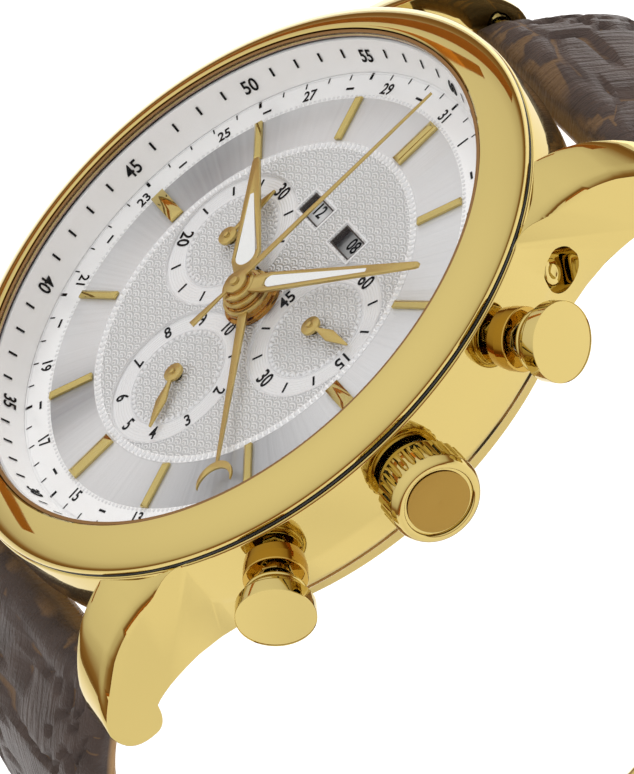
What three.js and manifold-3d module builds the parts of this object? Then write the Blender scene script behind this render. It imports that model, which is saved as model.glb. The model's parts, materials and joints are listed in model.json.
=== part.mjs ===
// A quartz chronograph wristwatch on a leather strap, with its pin buckle closed.
// Millimetres. The origin is the centre of the case back's flat outer face, +Z points out through
// the crystal, +X to 3 o'clock (the crown) and +Y to 12 o'clock.
import * as THREE from "three";
import { mergeVertices } from "three/addons/utils/BufferGeometryUtils.js";
import Module from "manifold-3d";

const wasm = await Module();
wasm.setup();

// ---- driving dimensions -------------------------------------------------------------------
const fit = 0.05; // between pieces that seat on each other
const running = 0.1; // between pieces that turn or slide on each other
const facets = 40; // round the case

const bandRadius = 21; // the case at its widest
const bandBottomRadius = 20.3;
const bandBottom = 2.9;
const bandTop = 9.15;
const caseBore = 17.5; // holds the movement
const dialSeatRadius = 18.5; // holds the dial and the flange ring

const dialFace = 8;
const dialThickness = 0.4;
const dialRadius = 18.2;
const flangeFoot = 17.15; // radius where the sloped ring meets the dial
const flangeTop = 10.25;
const flangeLean = 0.8; // how far the slope opens out
const subdialRadius = 4.9;
const subdialDepth = 0.12;
const subdialAcross = 6.4; // from the centre to the counters at 3 and 9
const subdialLift = 1.5; // those two sit above the centre line
const subdialDown = 6.5; // from the centre to the counter at 6
const windowAcross = 2.35;
const windowUp = 6.5;
const windowWidth = 2.7;
const windowHeight = 1.5;

const bezelInner = 18.4;
const bezelTop = 11;
const crystalRadius = 18.05;
const crystalEdge = 0.7;
const crystalDome = 0.5;

const backFlat = 15; // radius of the flat face at the back
const backRadius = 19.4;
const backWall = 1.3;

const lugGap = 22; // the strap's width class
const lugWidth = 3;
const lugReach = 24.05; // lug tips, from the centre
const lugFoot = -0.15; // how low the tips come
const barOut = 22.4; // spring bars, from the centre
const barHeight = 2;
const barRadius = 0.75;
const barPivotRadius = 0.4;
const barPivotLength = 0.9;

const stemHeight = 6; // crown, stem and pushers lie at this height
const stemRadius = 0.5;
const stemInner = 11.6;
const crownRadius = 2.85;
const crownBack = 22.05;
const crownFace = 24.85;
const crownFlutes = 18;
const pusherAngle = 28;
const pusherCapRadius = 2.43;
const pusherCapThickness = 1.1;
const pusherFace = 24.85;
const pusherStepRadius = 2.08; // the step behind the cap, the groove and the ring after it
const pusherGrooveRadius = 1.6;
const pusherRingRadius = 1.9;
const pusherShaft = 0.6;
const pusherTravel = 0.9;
const collarRadius = 1.95;
const collarLength = 0.9;
const correctorAngle = 43;
const correctorHeight = 5.2;
const correctorRadius = 0.85;
const correctorFace = 20.75;

const indexRadius = 13.6;
const indexLength = 3.2;
const indexWidth = 0.55;
const wideIndexWidth = 0.98;
const indexHeight = 0.38;

const hourLength = 10.8;
const minuteLength = 14.3;
const secondsLength = 16.4;
const secondsTail = 3.7;
const dateLength = 15.4;
const counterLength = 4;
const arborRadius = 0.25;
const dateLevel = 8.7;
const hourLevel = 9.1;
const minuteLevel = 9.5;
const secondsLevel = 9.88;
const counterLevel = 8.25;
const shownTime = { hour: 304, minute: 52.5, seconds: 0, date: 127.7, small: 78, thirty: 0, ten: 144 };

const plateTop = 4.9;
const plateThickness = 0.8;
const plateRadius = 16.3;
const wheelSpacing = 3.6; // centre wheels to the minute wheel
const wheelAngle = 200;
const discAcross = 4.4;
const discUp = 9.3;
const discRadius = 5.5;

const loopRadius = 30; // the strap's middle line, as it goes round the wrist
const strapWidth = 21.4;
const strapEndWidth = 18;
const strapPadded = 3.8;
const strapThin = 2.9;
const tailThin = 2.4;
const tailEndAngle = 75;
const buckleBarAngle = 4;
const buckleLength = 12;
const buckleBarRadius = 0.75;
const buckleWire = 0.95;
const keeperLength = 5;
const keeperWall = 1.1;
const fixedKeeperAngle = 20;
const freeKeeperAngle = 44;

// ---- materials ----------------------------------------------------------------------------
const finish = (color, roughness, metalness) =>
  new THREE.MeshStandardMaterial({ color, roughness, metalness });
const materials = {
  gold: () => finish(0xe3c66a, 0.12, 1),
  steel: () => finish(0xc9c9c6, 0.25, 1),
  silverDial: () => finish(0xe9e9e8, 0.35, 0.3),
  glass: () => finish(0xf4f8fa, 0.03, 0),
  rubber: () => finish(0x1c1c1c, 0.7, 0),
  leather: () => finish(0x3a2e28, 0.6, 0),
  brass: () => finish(0xb99a4e, 0.3, 1),
  plastic: () => finish(0xd8d6cf, 0.5, 0),
  circuit: () => finish(0x2f5d3a, 0.5, 0),
};

// ---- shapes -------------------------------------------------------------------------------
const radians = THREE.MathUtils.degToRad;
const smooth = THREE.MathUtils.smoothstep;
const mix = THREE.MathUtils.lerp;

function solidOf(geometry) {
  const loose = geometry.index ? geometry.toNonIndexed() : geometry;
  const bare = new THREE.BufferGeometry().setAttribute("position", loose.getAttribute("position"));
  const merged = mergeVertices(bare, 1e-4);
  const corners = [];
  for (let i = 0; i < merged.index.count; i += 3) {
    const face = [0, 1, 2].map((k) => merged.index.getX(i + k));
    if (new Set(face).size === 3) corners.push(...face);
  }
  return new wasm.Manifold(
    new wasm.Mesh({
      numProp: 3,
      vertProperties: merged.attributes.position.array,
      triVerts: new Uint32Array(corners),
    }),
  );
}

function geometryOf(solid) {
  const mesh = solid.getMesh();
  return new THREE.BufferGeometry()
    .setAttribute("position", new THREE.BufferAttribute(mesh.vertProperties, 3))
    .setIndex(new THREE.BufferAttribute(mesh.triVerts, 1));
}

function joined(base, ...others) {
  let solid = solidOf(base);
  for (const other of others) solid = solid.add(solidOf(other));
  return geometryOf(solid);
}

function cut(base, ...tools) {
  let solid = solidOf(base);
  for (const tool of tools) solid = solid.subtract(solidOf(tool));
  return geometryOf(solid);
}

// Turns a closed outline of [radius, height] pairs about Z. One that starts and ends on the axis
// is left open there.
function turned(outline, segments = 48) {
  let area = 0;
  outline.forEach(([r, z], i) => {
    const [nextR, nextZ] = outline[(i + 1) % outline.length];
    area += r * nextZ - nextR * z;
  });
  const path = outline.map(([r, z]) => new THREE.Vector2(r, z));
  if (area < 0) path.reverse();
  if (path[0].x > 0 || path.at(-1).x > 0) path.push(path[0].clone());
  return new THREE.LatheGeometry(path, segments).rotateX(Math.PI / 2);
}

const ring = (inner, outer, low, high, segments) =>
  turned([[inner, low], [outer, low], [outer, high], [inner, high]], segments);

const rod = (radius, low, high, segments = 24) =>
  turned([[0, low], [radius, low], [radius, high], [0, high]], segments);

// The same shapes with their axis along +X in place of +Z.
const alongX = (geometry) => geometry.rotateY(Math.PI / 2);

function box(x, y, z) {
  const block = new THREE.BoxGeometry(x[1] - x[0], y[1] - y[0], z[1] - z[0]);
  return block.translate((x[0] + x[1]) / 2, (y[0] + y[1]) / 2, (z[0] + z[1]) / 2);
}

function plate(shape, low, thickness, curveSegments = 12) {
  const flat = new THREE.ExtrudeGeometry(shape, { depth: thickness, bevelEnabled: false, curveSegments });
  return flat.translate(0, 0, low);
}

function outlined(points) {
  return new THREE.Shape(points.map(([x, y]) => new THREE.Vector2(x, y)));
}

function roundHole(shape, radius, x = 0, y = 0) {
  shape.holes.push(new THREE.Path().absarc(x, y, radius, 0, 2 * Math.PI, true));
  return shape;
}

// Skins a row of rings, each with the same number of points, and closes both ends.
// The faces point out when the rings run counterclockwise seen from the far end.
function lofted(rings, capFaces) {
  const count = rings[0].length;
  const caps = capFaces ?? rings[0].slice(2).map((_, i) => [0, i + 1, i + 2]);
  const corners = [];
  const last = (rings.length - 1) * count;
  for (let r = 0; r + 1 < rings.length; r++)
    for (let i = 0; i < count; i++) {
      const a = r * count + i;
      const b = r * count + ((i + 1) % count);
      corners.push(a, b, b + count, a, b + count, a + count);
    }
  for (const [a, b, c] of caps) corners.push(a, c, b, last + a, last + b, last + c);
  const positions = rings.flat().flatMap((p) => [p.x, p.y, p.z]);
  const skin = new THREE.BufferGeometry()
    .setAttribute("position", new THREE.Float32BufferAttribute(positions, 3))
    .setIndex(corners);
  return solidOf(skin).volume() < 0 ? reversed(skin) : skin;
}

function reversed(geometry) {
  const index = geometry.index.array;
  for (let i = 0; i < index.length; i += 3) [index[i + 1], index[i + 2]] = [index[i + 2], index[i + 1]];
  return geometry;
}

const mirrored = (geometry, x, y) => {
  const copy = geometry.clone().scale(x, y, 1);
  return x * y < 0 ? reversed(copy) : copy;
};

const toothSides = [[-0.3, -1.2], [-0.12, 0.9], [0.12, 0.9], [0.3, -1.2]];
const starPoint = [[-0.5, -1.2], [0, 1.2]];

function gear(teeth, size, bore, low, high, firstTooth, profile = toothSides) {
  const pitch = (teeth * size) / 2;
  const points = [];
  for (let tooth = 0; tooth < teeth; tooth++)
    for (const [share, height] of profile) {
      const angle = radians(firstTooth) + ((tooth + share) * 2 * Math.PI) / teeth;
      const r = pitch + height * size;
      points.push([r * Math.cos(angle), r * Math.sin(angle)]);
    }
  return plate(roundHole(outlined(points), bore), low, high - low, 7);
}

class Helix extends THREE.Curve {
  constructor(radius, from, to, turns) {
    super();
    Object.assign(this, { radius, from, to, turns });
  }
  getPoint(t) {
    const angle = 2 * Math.PI * this.turns * t;
    const x = mix(this.from, this.to, t);
    return new THREE.Vector3(x, this.radius * Math.cos(angle), this.radius * Math.sin(angle));
  }
}

function spring(radius, wire, from, to, turns) {
  const section = new THREE.Shape().absarc(0, 0, wire, 0, 2 * Math.PI);
  return new THREE.ExtrudeGeometry(section, {
    steps: turns * 7,
    curveSegments: 3,
    bevelEnabled: false,
    extrudePath: new Helix(radius, from + wire, to - wire, turns),
  });
}

// ---- the watch as a scene -----------------------------------------------------------------
const watch = new THREE.Group();

function add(name, geometry, material, parent = watch) {
  const mesh = new THREE.Mesh(geometry, materials[material]());
  mesh.name = name;
  parent.add(mesh);
  return mesh;
}

function groupAt(z, degrees) {
  const group = new THREE.Group();
  group.position.z = z;
  group.rotation.z = radians(degrees);
  watch.add(group);
  return group;
}

// ---- case ---------------------------------------------------------------------------------
const bandSeat = 20.8; // flats in the band that the pusher collars sit on
const pusherBody = 1.45;
const springBore = 1.2;
const springSeat = 19.6;
const crownTubeRadius = 1.3;
const correctorBore = correctorRadius + running;
const correctorSeat = 17.9;
const gasketGroove = { inner: 18.1, outer: 18.7, depth: 0.4 };

// The side view of a lug: under its root, round the foot and the tip, and back along the top.
function lugSide() {
  const root = caseBore - 4.9;
  const side = new THREE.Path();
  side.moveTo(root, bandBottom + 0.05);
  side.quadraticCurveTo(lugReach - 5, bandBottom - 0.5, lugReach - 3.35, lugFoot + 1.5);
  side.quadraticCurveTo(lugReach - 3, lugFoot, lugReach - 2.1, lugFoot);
  side.quadraticCurveTo(lugReach + 0.1, lugFoot, lugReach, lugFoot + 2.3);
  side.quadraticCurveTo(lugReach - 0.5, bandTop - 4.1, lugReach - 3.4, bandTop - 1.6);
  side.quadraticCurveTo(lugReach - 5.2, bandTop - 0.3, lugReach - 7, bandTop - 0.05);
  side.lineTo(root, bandTop - 0.05);
  return side.getPoints(4).slice(0, -1);
}

function lug() {
  const side = lugSide();
  const inner = lugGap / 2;
  const middle = (bandTop + bandBottom) / 2;
  // How far out the flank stands: it leaves the round band in a hollow sweep.
  const flank = (y) => inner + lugWidth + 2.3 * Math.exp((13 - y) / 3);
  const slices = [
    { share: 0, drop: 0.15, lift: 0.1 },
    { share: 0.05, drop: 0.02, lift: 0 },
    { share: 0.88, drop: 1.25, lift: 0 },
    { share: 0.97, drop: 1.5, lift: 0.12 },
    { share: 1, drop: 1.85, lift: 0.4 },
  ];
  const rings = slices.map(({ share, drop, lift }) =>
    side.map(({ x: y, y: z }) => {
      const away = smooth(y, 14, 18);
      const upper = smooth(z, middle - 5, middle + 1);
      const height = z - drop * away * upper + lift * away * (1 - upper);
      return new THREE.Vector3(mix(inner, flank(y), share), y, height);
    }),
  );
  return lofted(rings, THREE.ShapeUtils.triangulateShape(side, []));
}

function caseBody() {
  const outline = [
    [0, bandBottom],
    [bandBottomRadius - 0.15, bandBottom],
    [bandBottomRadius, bandBottom + 0.12],
    [bandRadius - 0.05, mix(bandBottom, bandTop, 0.42)],
    [bandRadius, mix(bandBottom, bandTop, 0.6)],
    [bandRadius - 0.05, bandTop - 0.4],
    [bandRadius - 0.2, bandTop],
    [0, bandTop],
  ];
  const quarter = lug();
  const lugs = [[1, 1], [-1, 1], [1, -1], [-1, -1]].map(([x, y]) => mirrored(quarter, x, y));
  const blank = joined(turned(outline, facets), ...lugs);
  const seat = dialFace - dialThickness - fit;
  const bore = turned(
    [
      [0, -2],
      [backRadius + fit, -2],
      [backRadius + fit, bandBottom],
      [caseBore, bandBottom],
      [caseBore, seat],
      [dialSeatRadius, seat],
      [dialSeatRadius, 12],
      [0, 12],
    ],
    facets,
  );
  const groove = ring(gasketGroove.inner, gasketGroove.outer, 1, bandBottom + gasketGroove.depth, facets);
  const barHoles = [-1, 1].map((side) => {
    const reach = lugGap / 2 + barPivotLength + 0.2;
    return alongX(rod(barPivotRadius + running, -reach, reach, 12)).translate(0, side * barOut, barHeight);
  });
  const radial = (radius, from, to, degrees, z) =>
    alongX(rod(radius, from, to, 20)).rotateZ(radians(degrees)).translate(0, 0, z);
  const pusherHoles = [pusherAngle, -pusherAngle].flatMap((angle) => [
    radial(pusherBody + fit, 15, 23, angle, stemHeight),
    radial(collarRadius + fit, bandSeat, 24, angle, stemHeight),
  ]);
  return cut(
    blank,
    bore,
    groove,
    ...barHoles,
    ...pusherHoles,
    radial(crownTubeRadius + fit, 15, 24, 0, stemHeight),
    radial(correctorBore, correctorSeat, 24, correctorAngle, correctorHeight),
    radial(correctorRadius + 0.5, correctorFace - 0.6, 24, correctorAngle, correctorHeight),
    radial(0.45, 15, 24, correctorAngle, correctorHeight),
  );
}

add("case_body", caseBody(), "gold");

function bezel() {
  const low = bandTop + fit;
  const outer = bandRadius - 0.08;
  const outline = [[bezelInner, low], [outer - 0.15, low], [outer, low + 0.12]];
  const steps = 5;
  const lip = bezelInner + 0.12;
  for (let i = 0; i <= steps; i++) {
    const angle = (i / steps) * (Math.PI / 2);
    const across = Math.cos(angle) ** 1.3;
    const up = Math.sin(angle) ** 1.3;
    outline.push([mix(lip, outer, across), mix(low + 0.25, bezelTop, up)]);
  }
  outline.push([bezelInner, bezelTop - 0.1]);
  return turned(outline, facets);
}
add("bezel", bezel(), "gold");

const crystalBottom = flangeTop + fit;
const crystalTop = crystalBottom + crystalEdge;

function crystal() {
  const outline = [[0, crystalBottom], [crystalRadius, crystalBottom], [crystalRadius, crystalTop - 0.1]];
  const steps = 3;
  for (let i = 0; i <= steps; i++) {
    const share = 1 - i / steps;
    outline.push([(crystalRadius - 0.1) * share, crystalTop + crystalDome * (1 - share * share)]);
  }
  return turned(outline, facets);
}
add("crystal", crystal(), "glass");

add(
  "crystal_gasket",
  ring(crystalRadius + fit, bezelInner - fit, crystalBottom, crystalTop - 0.15, facets),
  "rubber",
);

const flangeOutline = [
  [flangeFoot, dialFace + fit],
  [bezelInner - running, dialFace + fit],
  [bezelInner - running, flangeTop],
  [flangeFoot + flangeLean, flangeTop],
];
add("flange_ring", turned(flangeOutline, facets), "silverDial");

function caseBack() {
  const lip = caseBore - 0.15;
  const top = bandBottom - fit;
  return turned(
    [
      [0, 0],
      [backFlat, 0],
      [backFlat + 2.3, 0.35],
      [backRadius - 0.6, 1.3],
      [backRadius, 2.1],
      [backRadius, top],
      [lip, top],
      [lip, top + 0.35],
      [lip - 0.9, top + 0.35],
      [lip - 0.9, backWall],
      [0, backWall],
    ],
    facets,
  );
}
add("case_back", caseBack(), "steel");
add(
  "case_back_gasket",
  ring(gasketGroove.inner + fit, gasketGroove.outer - fit, bandBottom - fit / 2, bandBottom + 0.35, facets),
  "rubber",
);

// ---- dial and indexes ---------------------------------------------------------------------
const subdials = {
  thirty: [-subdialAcross, subdialLift],
  small: [subdialAcross, subdialLift],
  ten: [0, -subdialDown],
};
const dateTube = { inner: 1.05, outer: 1.25 };
const hourTube = { inner: 0.7, outer: 0.95 };
const minuteTube = { inner: arborRadius + running, outer: 0.6 };

function dial() {
  const low = dialFace - dialThickness;
  const disc = rod(dialRadius, low, dialFace, facets);
  const tools = [rod(dateTube.outer + running + fit, 0, 12)];
  for (const [x, y] of Object.values(subdials)) {
    tools.push(rod(subdialRadius, dialFace - subdialDepth, 12, 32).translate(x, y, 0));
    tools.push(rod(arborRadius + running, 0, 12, 16).translate(x, y, 0));
  }
  for (const side of [-1, 1]) {
    const x = side * windowAcross;
    tools.push(
      box(
        [x - windowWidth / 2, x + windowWidth / 2],
        [windowUp - windowHeight / 2, windowUp + windowHeight / 2],
        [0, 12],
      ),
    );
  }
  return cut(disc, ...tools);
}
add("dial", dial(), "silverDial");

// An applied baton with a hipped top, its length along Y.
function baton(width) {
  const [w, l] = [width / 2, indexLength / 2];
  const wall = indexHeight * 0.5;
  const ridge = l - Math.min(w, 0.3);
  const level = (x, y, z) =>
    [[-x, -y], [x, -y], [x, y], [-x, y]].map(([px, py]) => new THREE.Vector3(px, py, z));
  return lofted([level(w, l, 0), level(w, l, wall), level(w * 0.12, ridge, indexHeight)]);
}

for (let hour = 1; hour <= 12; hour++) {
  const mesh = add(
    "index_" + String(hour).padStart(2, "0"),
    baton(hour % 3 ? indexWidth : wideIndexWidth),
    "gold",
  );
  const angle = radians(-30 * hour);
  mesh.rotation.z = angle;
  mesh.position.set(-indexRadius * Math.sin(angle), indexRadius * Math.cos(angle), dialFace + 0.02);
}

// ---- hands --------------------------------------------------------------------------------
// Each hand is drawn pointing to 12 and turned to its reading, with its boss and its arbor.
function placed(name, geometry, degrees, [x, y] = [0, 0]) {
  const mesh = add(name, geometry, "gold");
  mesh.rotation.z = radians(-degrees);
  mesh.position.set(x, y, 0);
}

const mirroredOutline = (half) => outlined([...half, ...half.map(([x, y]) => [-x, y]).reverse()]);

function pointerHand({ length, width, shoulder, tip, hub, bore, level, slotEnd }) {
  const body = mirroredOutline([
    [hub * 0.45, 0],
    [hub * 0.5, hub * 0.95],
    [width / 2, shoulder],
    [tip, length - tip],
    [tip * 0.6, length],
  ]);
  const rim = 0.24;
  const slot = mirroredOutline([
    [width * 0.2, shoulder - 0.35],
    [width / 2 - rim, shoulder + 0.25],
    [tip * 0.45, slotEnd],
  ]);
  const blade = cut(plate(body, level, 0.2), plate(slot, level - 1, 3));
  const boss = ring(bore, hub, level - 0.06, level + 0.24, 24);
  return cut(joined(blade, boss), rod(bore, 0, 20));
}

placed(
  "hour_hand",
  pointerHand({
    length: hourLength,
    width: 2.1,
    shoulder: 2.65,
    tip: 0.27,
    hub: 1.4,
    bore: hourTube.outer + 0.02,
    level: hourLevel,
    slotEnd: 7.8,
  }),
  shownTime.hour,
);
placed(
  "minute_hand",
  pointerHand({
    length: minuteLength,
    width: 1.4,
    shoulder: 2.4,
    tip: 0.22,
    hub: 1.15,
    bore: minuteTube.outer + 0.02,
    level: minuteLevel,
    slotEnd: 10.2,
  }),
  shownTime.minute,
);

const arborFoot = plateTop - plateThickness + 0.2;

function secondsHand() {
  const needle = mirroredOutline([[0.26, -secondsTail], [0.1, -0.9], [0.22, 0.7], [0.07, secondsLength]]);
  const top = secondsLevel + 0.12;
  return joined(
    plate(needle, secondsLevel, 0.12),
    rod(0.8, secondsLevel - 0.03, top + 0.03, 24),
    rod(0.35, secondsLevel, top + 0.12, 16),
    rod(arborRadius, arborFoot, secondsLevel + 0.02, 16),
  );
}
placed("chrono_seconds_hand", secondsHand(), shownTime.seconds);

function dateHand() {
  const needle = mirroredOutline([[0.35, 0.8], [0.09, dateLength - 2.2]]);
  const crescent = new THREE.Shape();
  const middle = dateLength - 0.95;
  crescent.absarc(0, middle, 1.3, radians(20), radians(160), true);
  crescent.absarc(0, middle + 0.45, 1.22, radians(180), radians(0), false);
  const blade = joined(plate(needle, dateLevel, 0.15), plate(crescent, dateLevel, 0.15, 7));
  const boss = ring(dateTube.outer + 0.02, 1.68, dateLevel - 0.08, dateLevel + 0.2, 24);
  return cut(joined(blade, boss), rod(dateTube.outer + 0.02, 0, 20));
}
placed("date_hand", dateHand(), shownTime.date);

function counterHand() {
  const lance = mirroredOutline([
    [0.14, 0.3],
    [0.14, 0.9],
    [0.4, counterLength * 0.52],
    [0.06, counterLength],
  ]);
  return joined(
    plate(lance, counterLevel, 0.14),
    rod(0.66, counterLevel - 0.03, counterLevel + 0.17, 20),
    rod(0.22, counterLevel, counterLevel + 0.25, 12),
    rod(arborRadius, arborFoot, counterLevel + 0.02, 12),
  );
}
placed("minute_counter_hand", counterHand(), shownTime.thirty, subdials.thirty);
placed("small_seconds_hand", counterHand(), shownTime.small, subdials.small);
placed("hour_counter_hand", counterHand(), shownTime.ten, subdials.ten);

// ---- wheels under the dial ----------------------------------------------------------------
const pinionLow = 5.9;
const pinionHigh = 6.4;
const wheelLow = 6.6;
const wheelHigh = 6.95;
const wheelX = wheelSpacing * Math.cos(radians(wheelAngle));
const wheelY = wheelSpacing * Math.sin(radians(wheelAngle));
const wheelPost = 0.2;
const teeth = { cannon: 10, minute: 30, pinion: 8, hour: 32 };
const lowerSize = (2 * wheelSpacing) / (teeth.cannon + teeth.minute);
const upperSize = (2 * wheelSpacing) / (teeth.pinion + teeth.hour);

add(
  "cannon_pinion",
  joined(
    gear(teeth.cannon, lowerSize, minuteTube.inner, pinionLow, pinionHigh, wheelAngle),
    ring(minuteTube.inner, minuteTube.outer, pinionLow, minuteLevel + 0.15, 24),
  ),
  "brass",
);
add(
  "hour_wheel",
  joined(
    gear(teeth.hour, upperSize, hourTube.inner, wheelLow, wheelHigh, wheelAngle + 180 / teeth.hour),
    ring(hourTube.inner, hourTube.outer, wheelLow, hourLevel + 0.15, 24),
  ),
  "brass",
);
const minuteWheel = joined(
  gear(
    teeth.minute,
    lowerSize,
    wheelPost + running,
    pinionLow + 0.05,
    pinionHigh - 0.05,
    wheelAngle + 180 + 180 / teeth.minute,
  ),
  ring(wheelPost + running, 0.5, pinionLow + 0.05, wheelHigh, 16),
  gear(teeth.pinion, upperSize, wheelPost + running, wheelLow, wheelHigh, wheelAngle + 180),
);
add("minute_wheel", minuteWheel, "brass").position.set(wheelX, wheelY, 0);

const dateWheelTeeth = 31;
add(
  "date_wheel",
  joined(
    gear(dateWheelTeeth, 8.2 / dateWheelTeeth, dateTube.inner, 7.2, 7.4, 0, starPoint),
    ring(dateTube.inner, dateTube.outer, 7.2, dateLevel + 0.12, 24),
  ),
  "brass",
);

const discPost = 0.5;
const discs = [
  { name: "day_disc", side: -1, low: 7.3 },
  { name: "month_disc", side: 1, low: 7 },
];
for (const { name, side, low } of discs)
  add(name, ring(discPost + running, discRadius, low, low + 0.15, 28), "silverDial").position.set(
    side * discAcross,
    discUp,
    0,
  );

// ---- movement -----------------------------------------------------------------------------
function movementPlate() {
  const low = plateTop - plateThickness;
  const arbors = [[0, 0], ...Object.values(subdials)];
  const posts = [
    rod(wheelPost, plateTop - 0.1, wheelHigh + 0.1, 12).translate(wheelX, wheelY, 0),
    ...discs.map(({ side, low: discLow }) =>
      rod(discPost, plateTop - 0.1, discLow + 0.1, 16).translate(side * discAcross, discUp, 0),
    ),
  ];
  const holes = arbors.map(([x, y]) => rod(arborRadius + running, 0, plateTop + 1, 12).translate(x, y, 0));
  const notch = alongX(rod(1, 14.5, 18, 16))
    .rotateZ(radians(correctorAngle))
    .translate(0, 0, correctorHeight);
  return cut(joined(rod(plateRadius, low, plateTop, facets), ...posts), ...holes, notch);
}
add("movement_plate", movementPlate(), "brass");

function movementHolder() {
  const slots = [pusherAngle, -pusherAngle, 0, correctorAngle].map((degrees) => {
    const height = degrees === correctorAngle ? correctorHeight : stemHeight;
    const radius = degrees === correctorAngle ? 0.9 : pusherBody;
    return alongX(rod(radius, 15, 19, 16)).rotateZ(radians(degrees)).translate(0, 0, height);
  });
  const high = dialFace - dialThickness - fit;
  return cut(ring(plateRadius + 0.2, caseBore - running, bandBottom + 0.4, high, facets), ...slots);
}
add("movement_holder", movementHolder(), "plastic");

const underPlate = plateTop - plateThickness - fit;
const cellRadius = 4.75;
const cellX = 6.5;
const cellY = -7;
add(
  "battery",
  turned(
    [
      [0, backWall + 0.3],
      [cellRadius - 0.6, backWall + 0.3],
      [cellRadius - 0.6, backWall + 0.5],
      [cellRadius, backWall + 0.6],
      [cellRadius, underPlate],
      [0, underPlate],
    ],
    24,
  ),
  "steel",
).position.set(cellX, cellY, 0);

function stepMotor() {
  const coilHeight = underPlate - 1.05;
  const stator = box([2, 12], [5, 6.2], [underPlate - 0.8, underPlate]);
  const feet = [2, 10.8].map((x) => box([x, x + 1.2], [5, 9.6], [underPlate - 0.8, underPlate]));
  const coil = alongX(rod(1.02, 3.4, 10.6, 16)).translate(0, 8.6, coilHeight);
  const core = box([2.4, 11.6], [8.2, 9], [coilHeight - 0.3, underPlate - 0.1]);
  return joined(stator, ...feet, coil, core);
}
add("step_motor", stepMotor(), "brass");

function circuitBoard() {
  const shape = new THREE.Shape();
  shape.absarc(0, 0, 15.6, radians(105), radians(250), false);
  shape.absarc(0, 0, 4.5, radians(250), radians(105), true);
  const board = plate(shape, underPlate - 0.5, 0.5, 20);
  const chip = box([-10, -6.5], [-2, 1.5], [underPlate - 1.2, underPlate - 0.4]);
  return joined(board, chip);
}
add("circuit_board", circuitBoard(), "circuit");

// ---- crown --------------------------------------------------------------------------------
const crownGroup = groupAt(stemHeight, 0);
const crownCollar = 2.35;
const crownRecess = 1.75;
const crownRecessEnd = 23.4;
const stemEnd = 24;
const yokeGroove = { from: 12.4, to: 13, radius: 0.3 };

function crown() {
  const back = bandRadius + 0.35;
  const knob = alongX(
    turned(
      [
        [stemRadius + fit, crownRecessEnd],
        [crownRecess, crownRecessEnd],
        [crownRecess, back],
        [crownCollar, back],
        [crownCollar, crownBack],
        [crownRadius - 0.3, crownBack],
        [crownRadius, crownBack + 0.3],
        [crownRadius, crownFace - 0.45],
        [crownRadius - 0.12, crownFace - 0.12],
        [crownRadius - 0.25, crownFace],
        [crownRadius - 0.55, crownFace],
        [crownRadius - 0.6, crownFace - 0.14],
        [0, crownFace - 0.14],
        [0, stemEnd + fit],
        [stemRadius + fit, stemEnd + fit],
      ],
      36,
    ),
  );
  const mouth = crownBack - 0.2;
  const flute = turned([[0, mouth], [0.27, mouth], [0.27, crownBack + 1.1], [0, crownBack + 1.95]], 5);
  const flutes = [];
  for (let i = 0; i < crownFlutes; i++) {
    const around = (i * 2 * Math.PI) / crownFlutes;
    flutes.push(
      alongX(flute.clone())
        .translate(0, 0, crownRadius + 0.06)
        .rotateX(around),
    );
  }
  return cut(knob, ...flutes);
}
add("crown", crown(), "gold", crownGroup);

const stemOutline = [
  [0, stemInner],
  [stemRadius, stemInner],
  [stemRadius, yokeGroove.from],
  [yokeGroove.radius, yokeGroove.from],
  [yokeGroove.radius, yokeGroove.to],
  [stemRadius, yokeGroove.to],
  [stemRadius, stemEnd],
  [0, stemEnd],
];
add("crown_stem", alongX(turned(stemOutline, 20)), "steel", crownGroup);
const tubeOuterEnd = 22.6;
add(
  "crown_tube",
  alongX(ring(stemRadius + running, crownTubeRadius, caseBore + running, tubeOuterEnd, 20)),
  "steel",
  crownGroup,
);
add(
  "crown_gasket",
  alongX(ring(crownTubeRadius + fit, crownRecess - fit, tubeOuterEnd - 0.7, tubeOuterEnd - 0.3, 20)),
  "rubber",
  crownGroup,
);

function settingYoke() {
  const half = plateTop + fit - stemHeight;
  const blade = box([yokeGroove.from + fit, yokeGroove.to - fit], [-1.5, 1.5], [half, -half]);
  return cut(blade, alongX(rod(yokeGroove.radius + running, 11, 15, 16)));
}
add("setting_yoke", settingYoke(), "steel", crownGroup);

// ---- pushers ------------------------------------------------------------------------------
// A pusher has a flat cap, a stepped waist and a shaft with a retaining head inside the case.
function pusher() {
  const capBack = pusherFace - pusherCapThickness;
  const waist = bandSeat + collarLength + fit + pusherTravel + 0.1;
  const head = 0.9;
  const headStop = caseBore + running - fit;
  return alongX(
    turned(
      [
        [0, pusherFace],
        [pusherCapRadius - 0.15, pusherFace],
        [pusherCapRadius, pusherFace - 0.15],
        [pusherCapRadius, capBack],
        [pusherStepRadius, capBack],
        [pusherStepRadius, capBack - 0.5],
        [pusherGrooveRadius, capBack - 0.56],
        [pusherGrooveRadius, capBack - 0.72],
        [pusherRingRadius, capBack - 0.78],
        [pusherRingRadius, waist],
        [pusherShaft, waist],
        [pusherShaft, headStop],
        [head, headStop],
        [head, headStop - 0.3],
        [0, headStop - 0.3],
      ],
      20,
    ),
  );
}

function pusherTube() {
  const inner = pusherShaft + running;
  const seat = bandSeat + fit;
  const end = seat + collarLength;
  return alongX(
    turned(
      [
        [inner, caseBore + running],
        [pusherBody, caseBore + running],
        [pusherBody, seat],
        [collarRadius, seat],
        [collarRadius, end - 0.12],
        [collarRadius - 0.12, end],
        [springBore, end],
        [springBore, springSeat],
        [inner, springSeat],
      ],
      20,
    ),
  );
}

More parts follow.
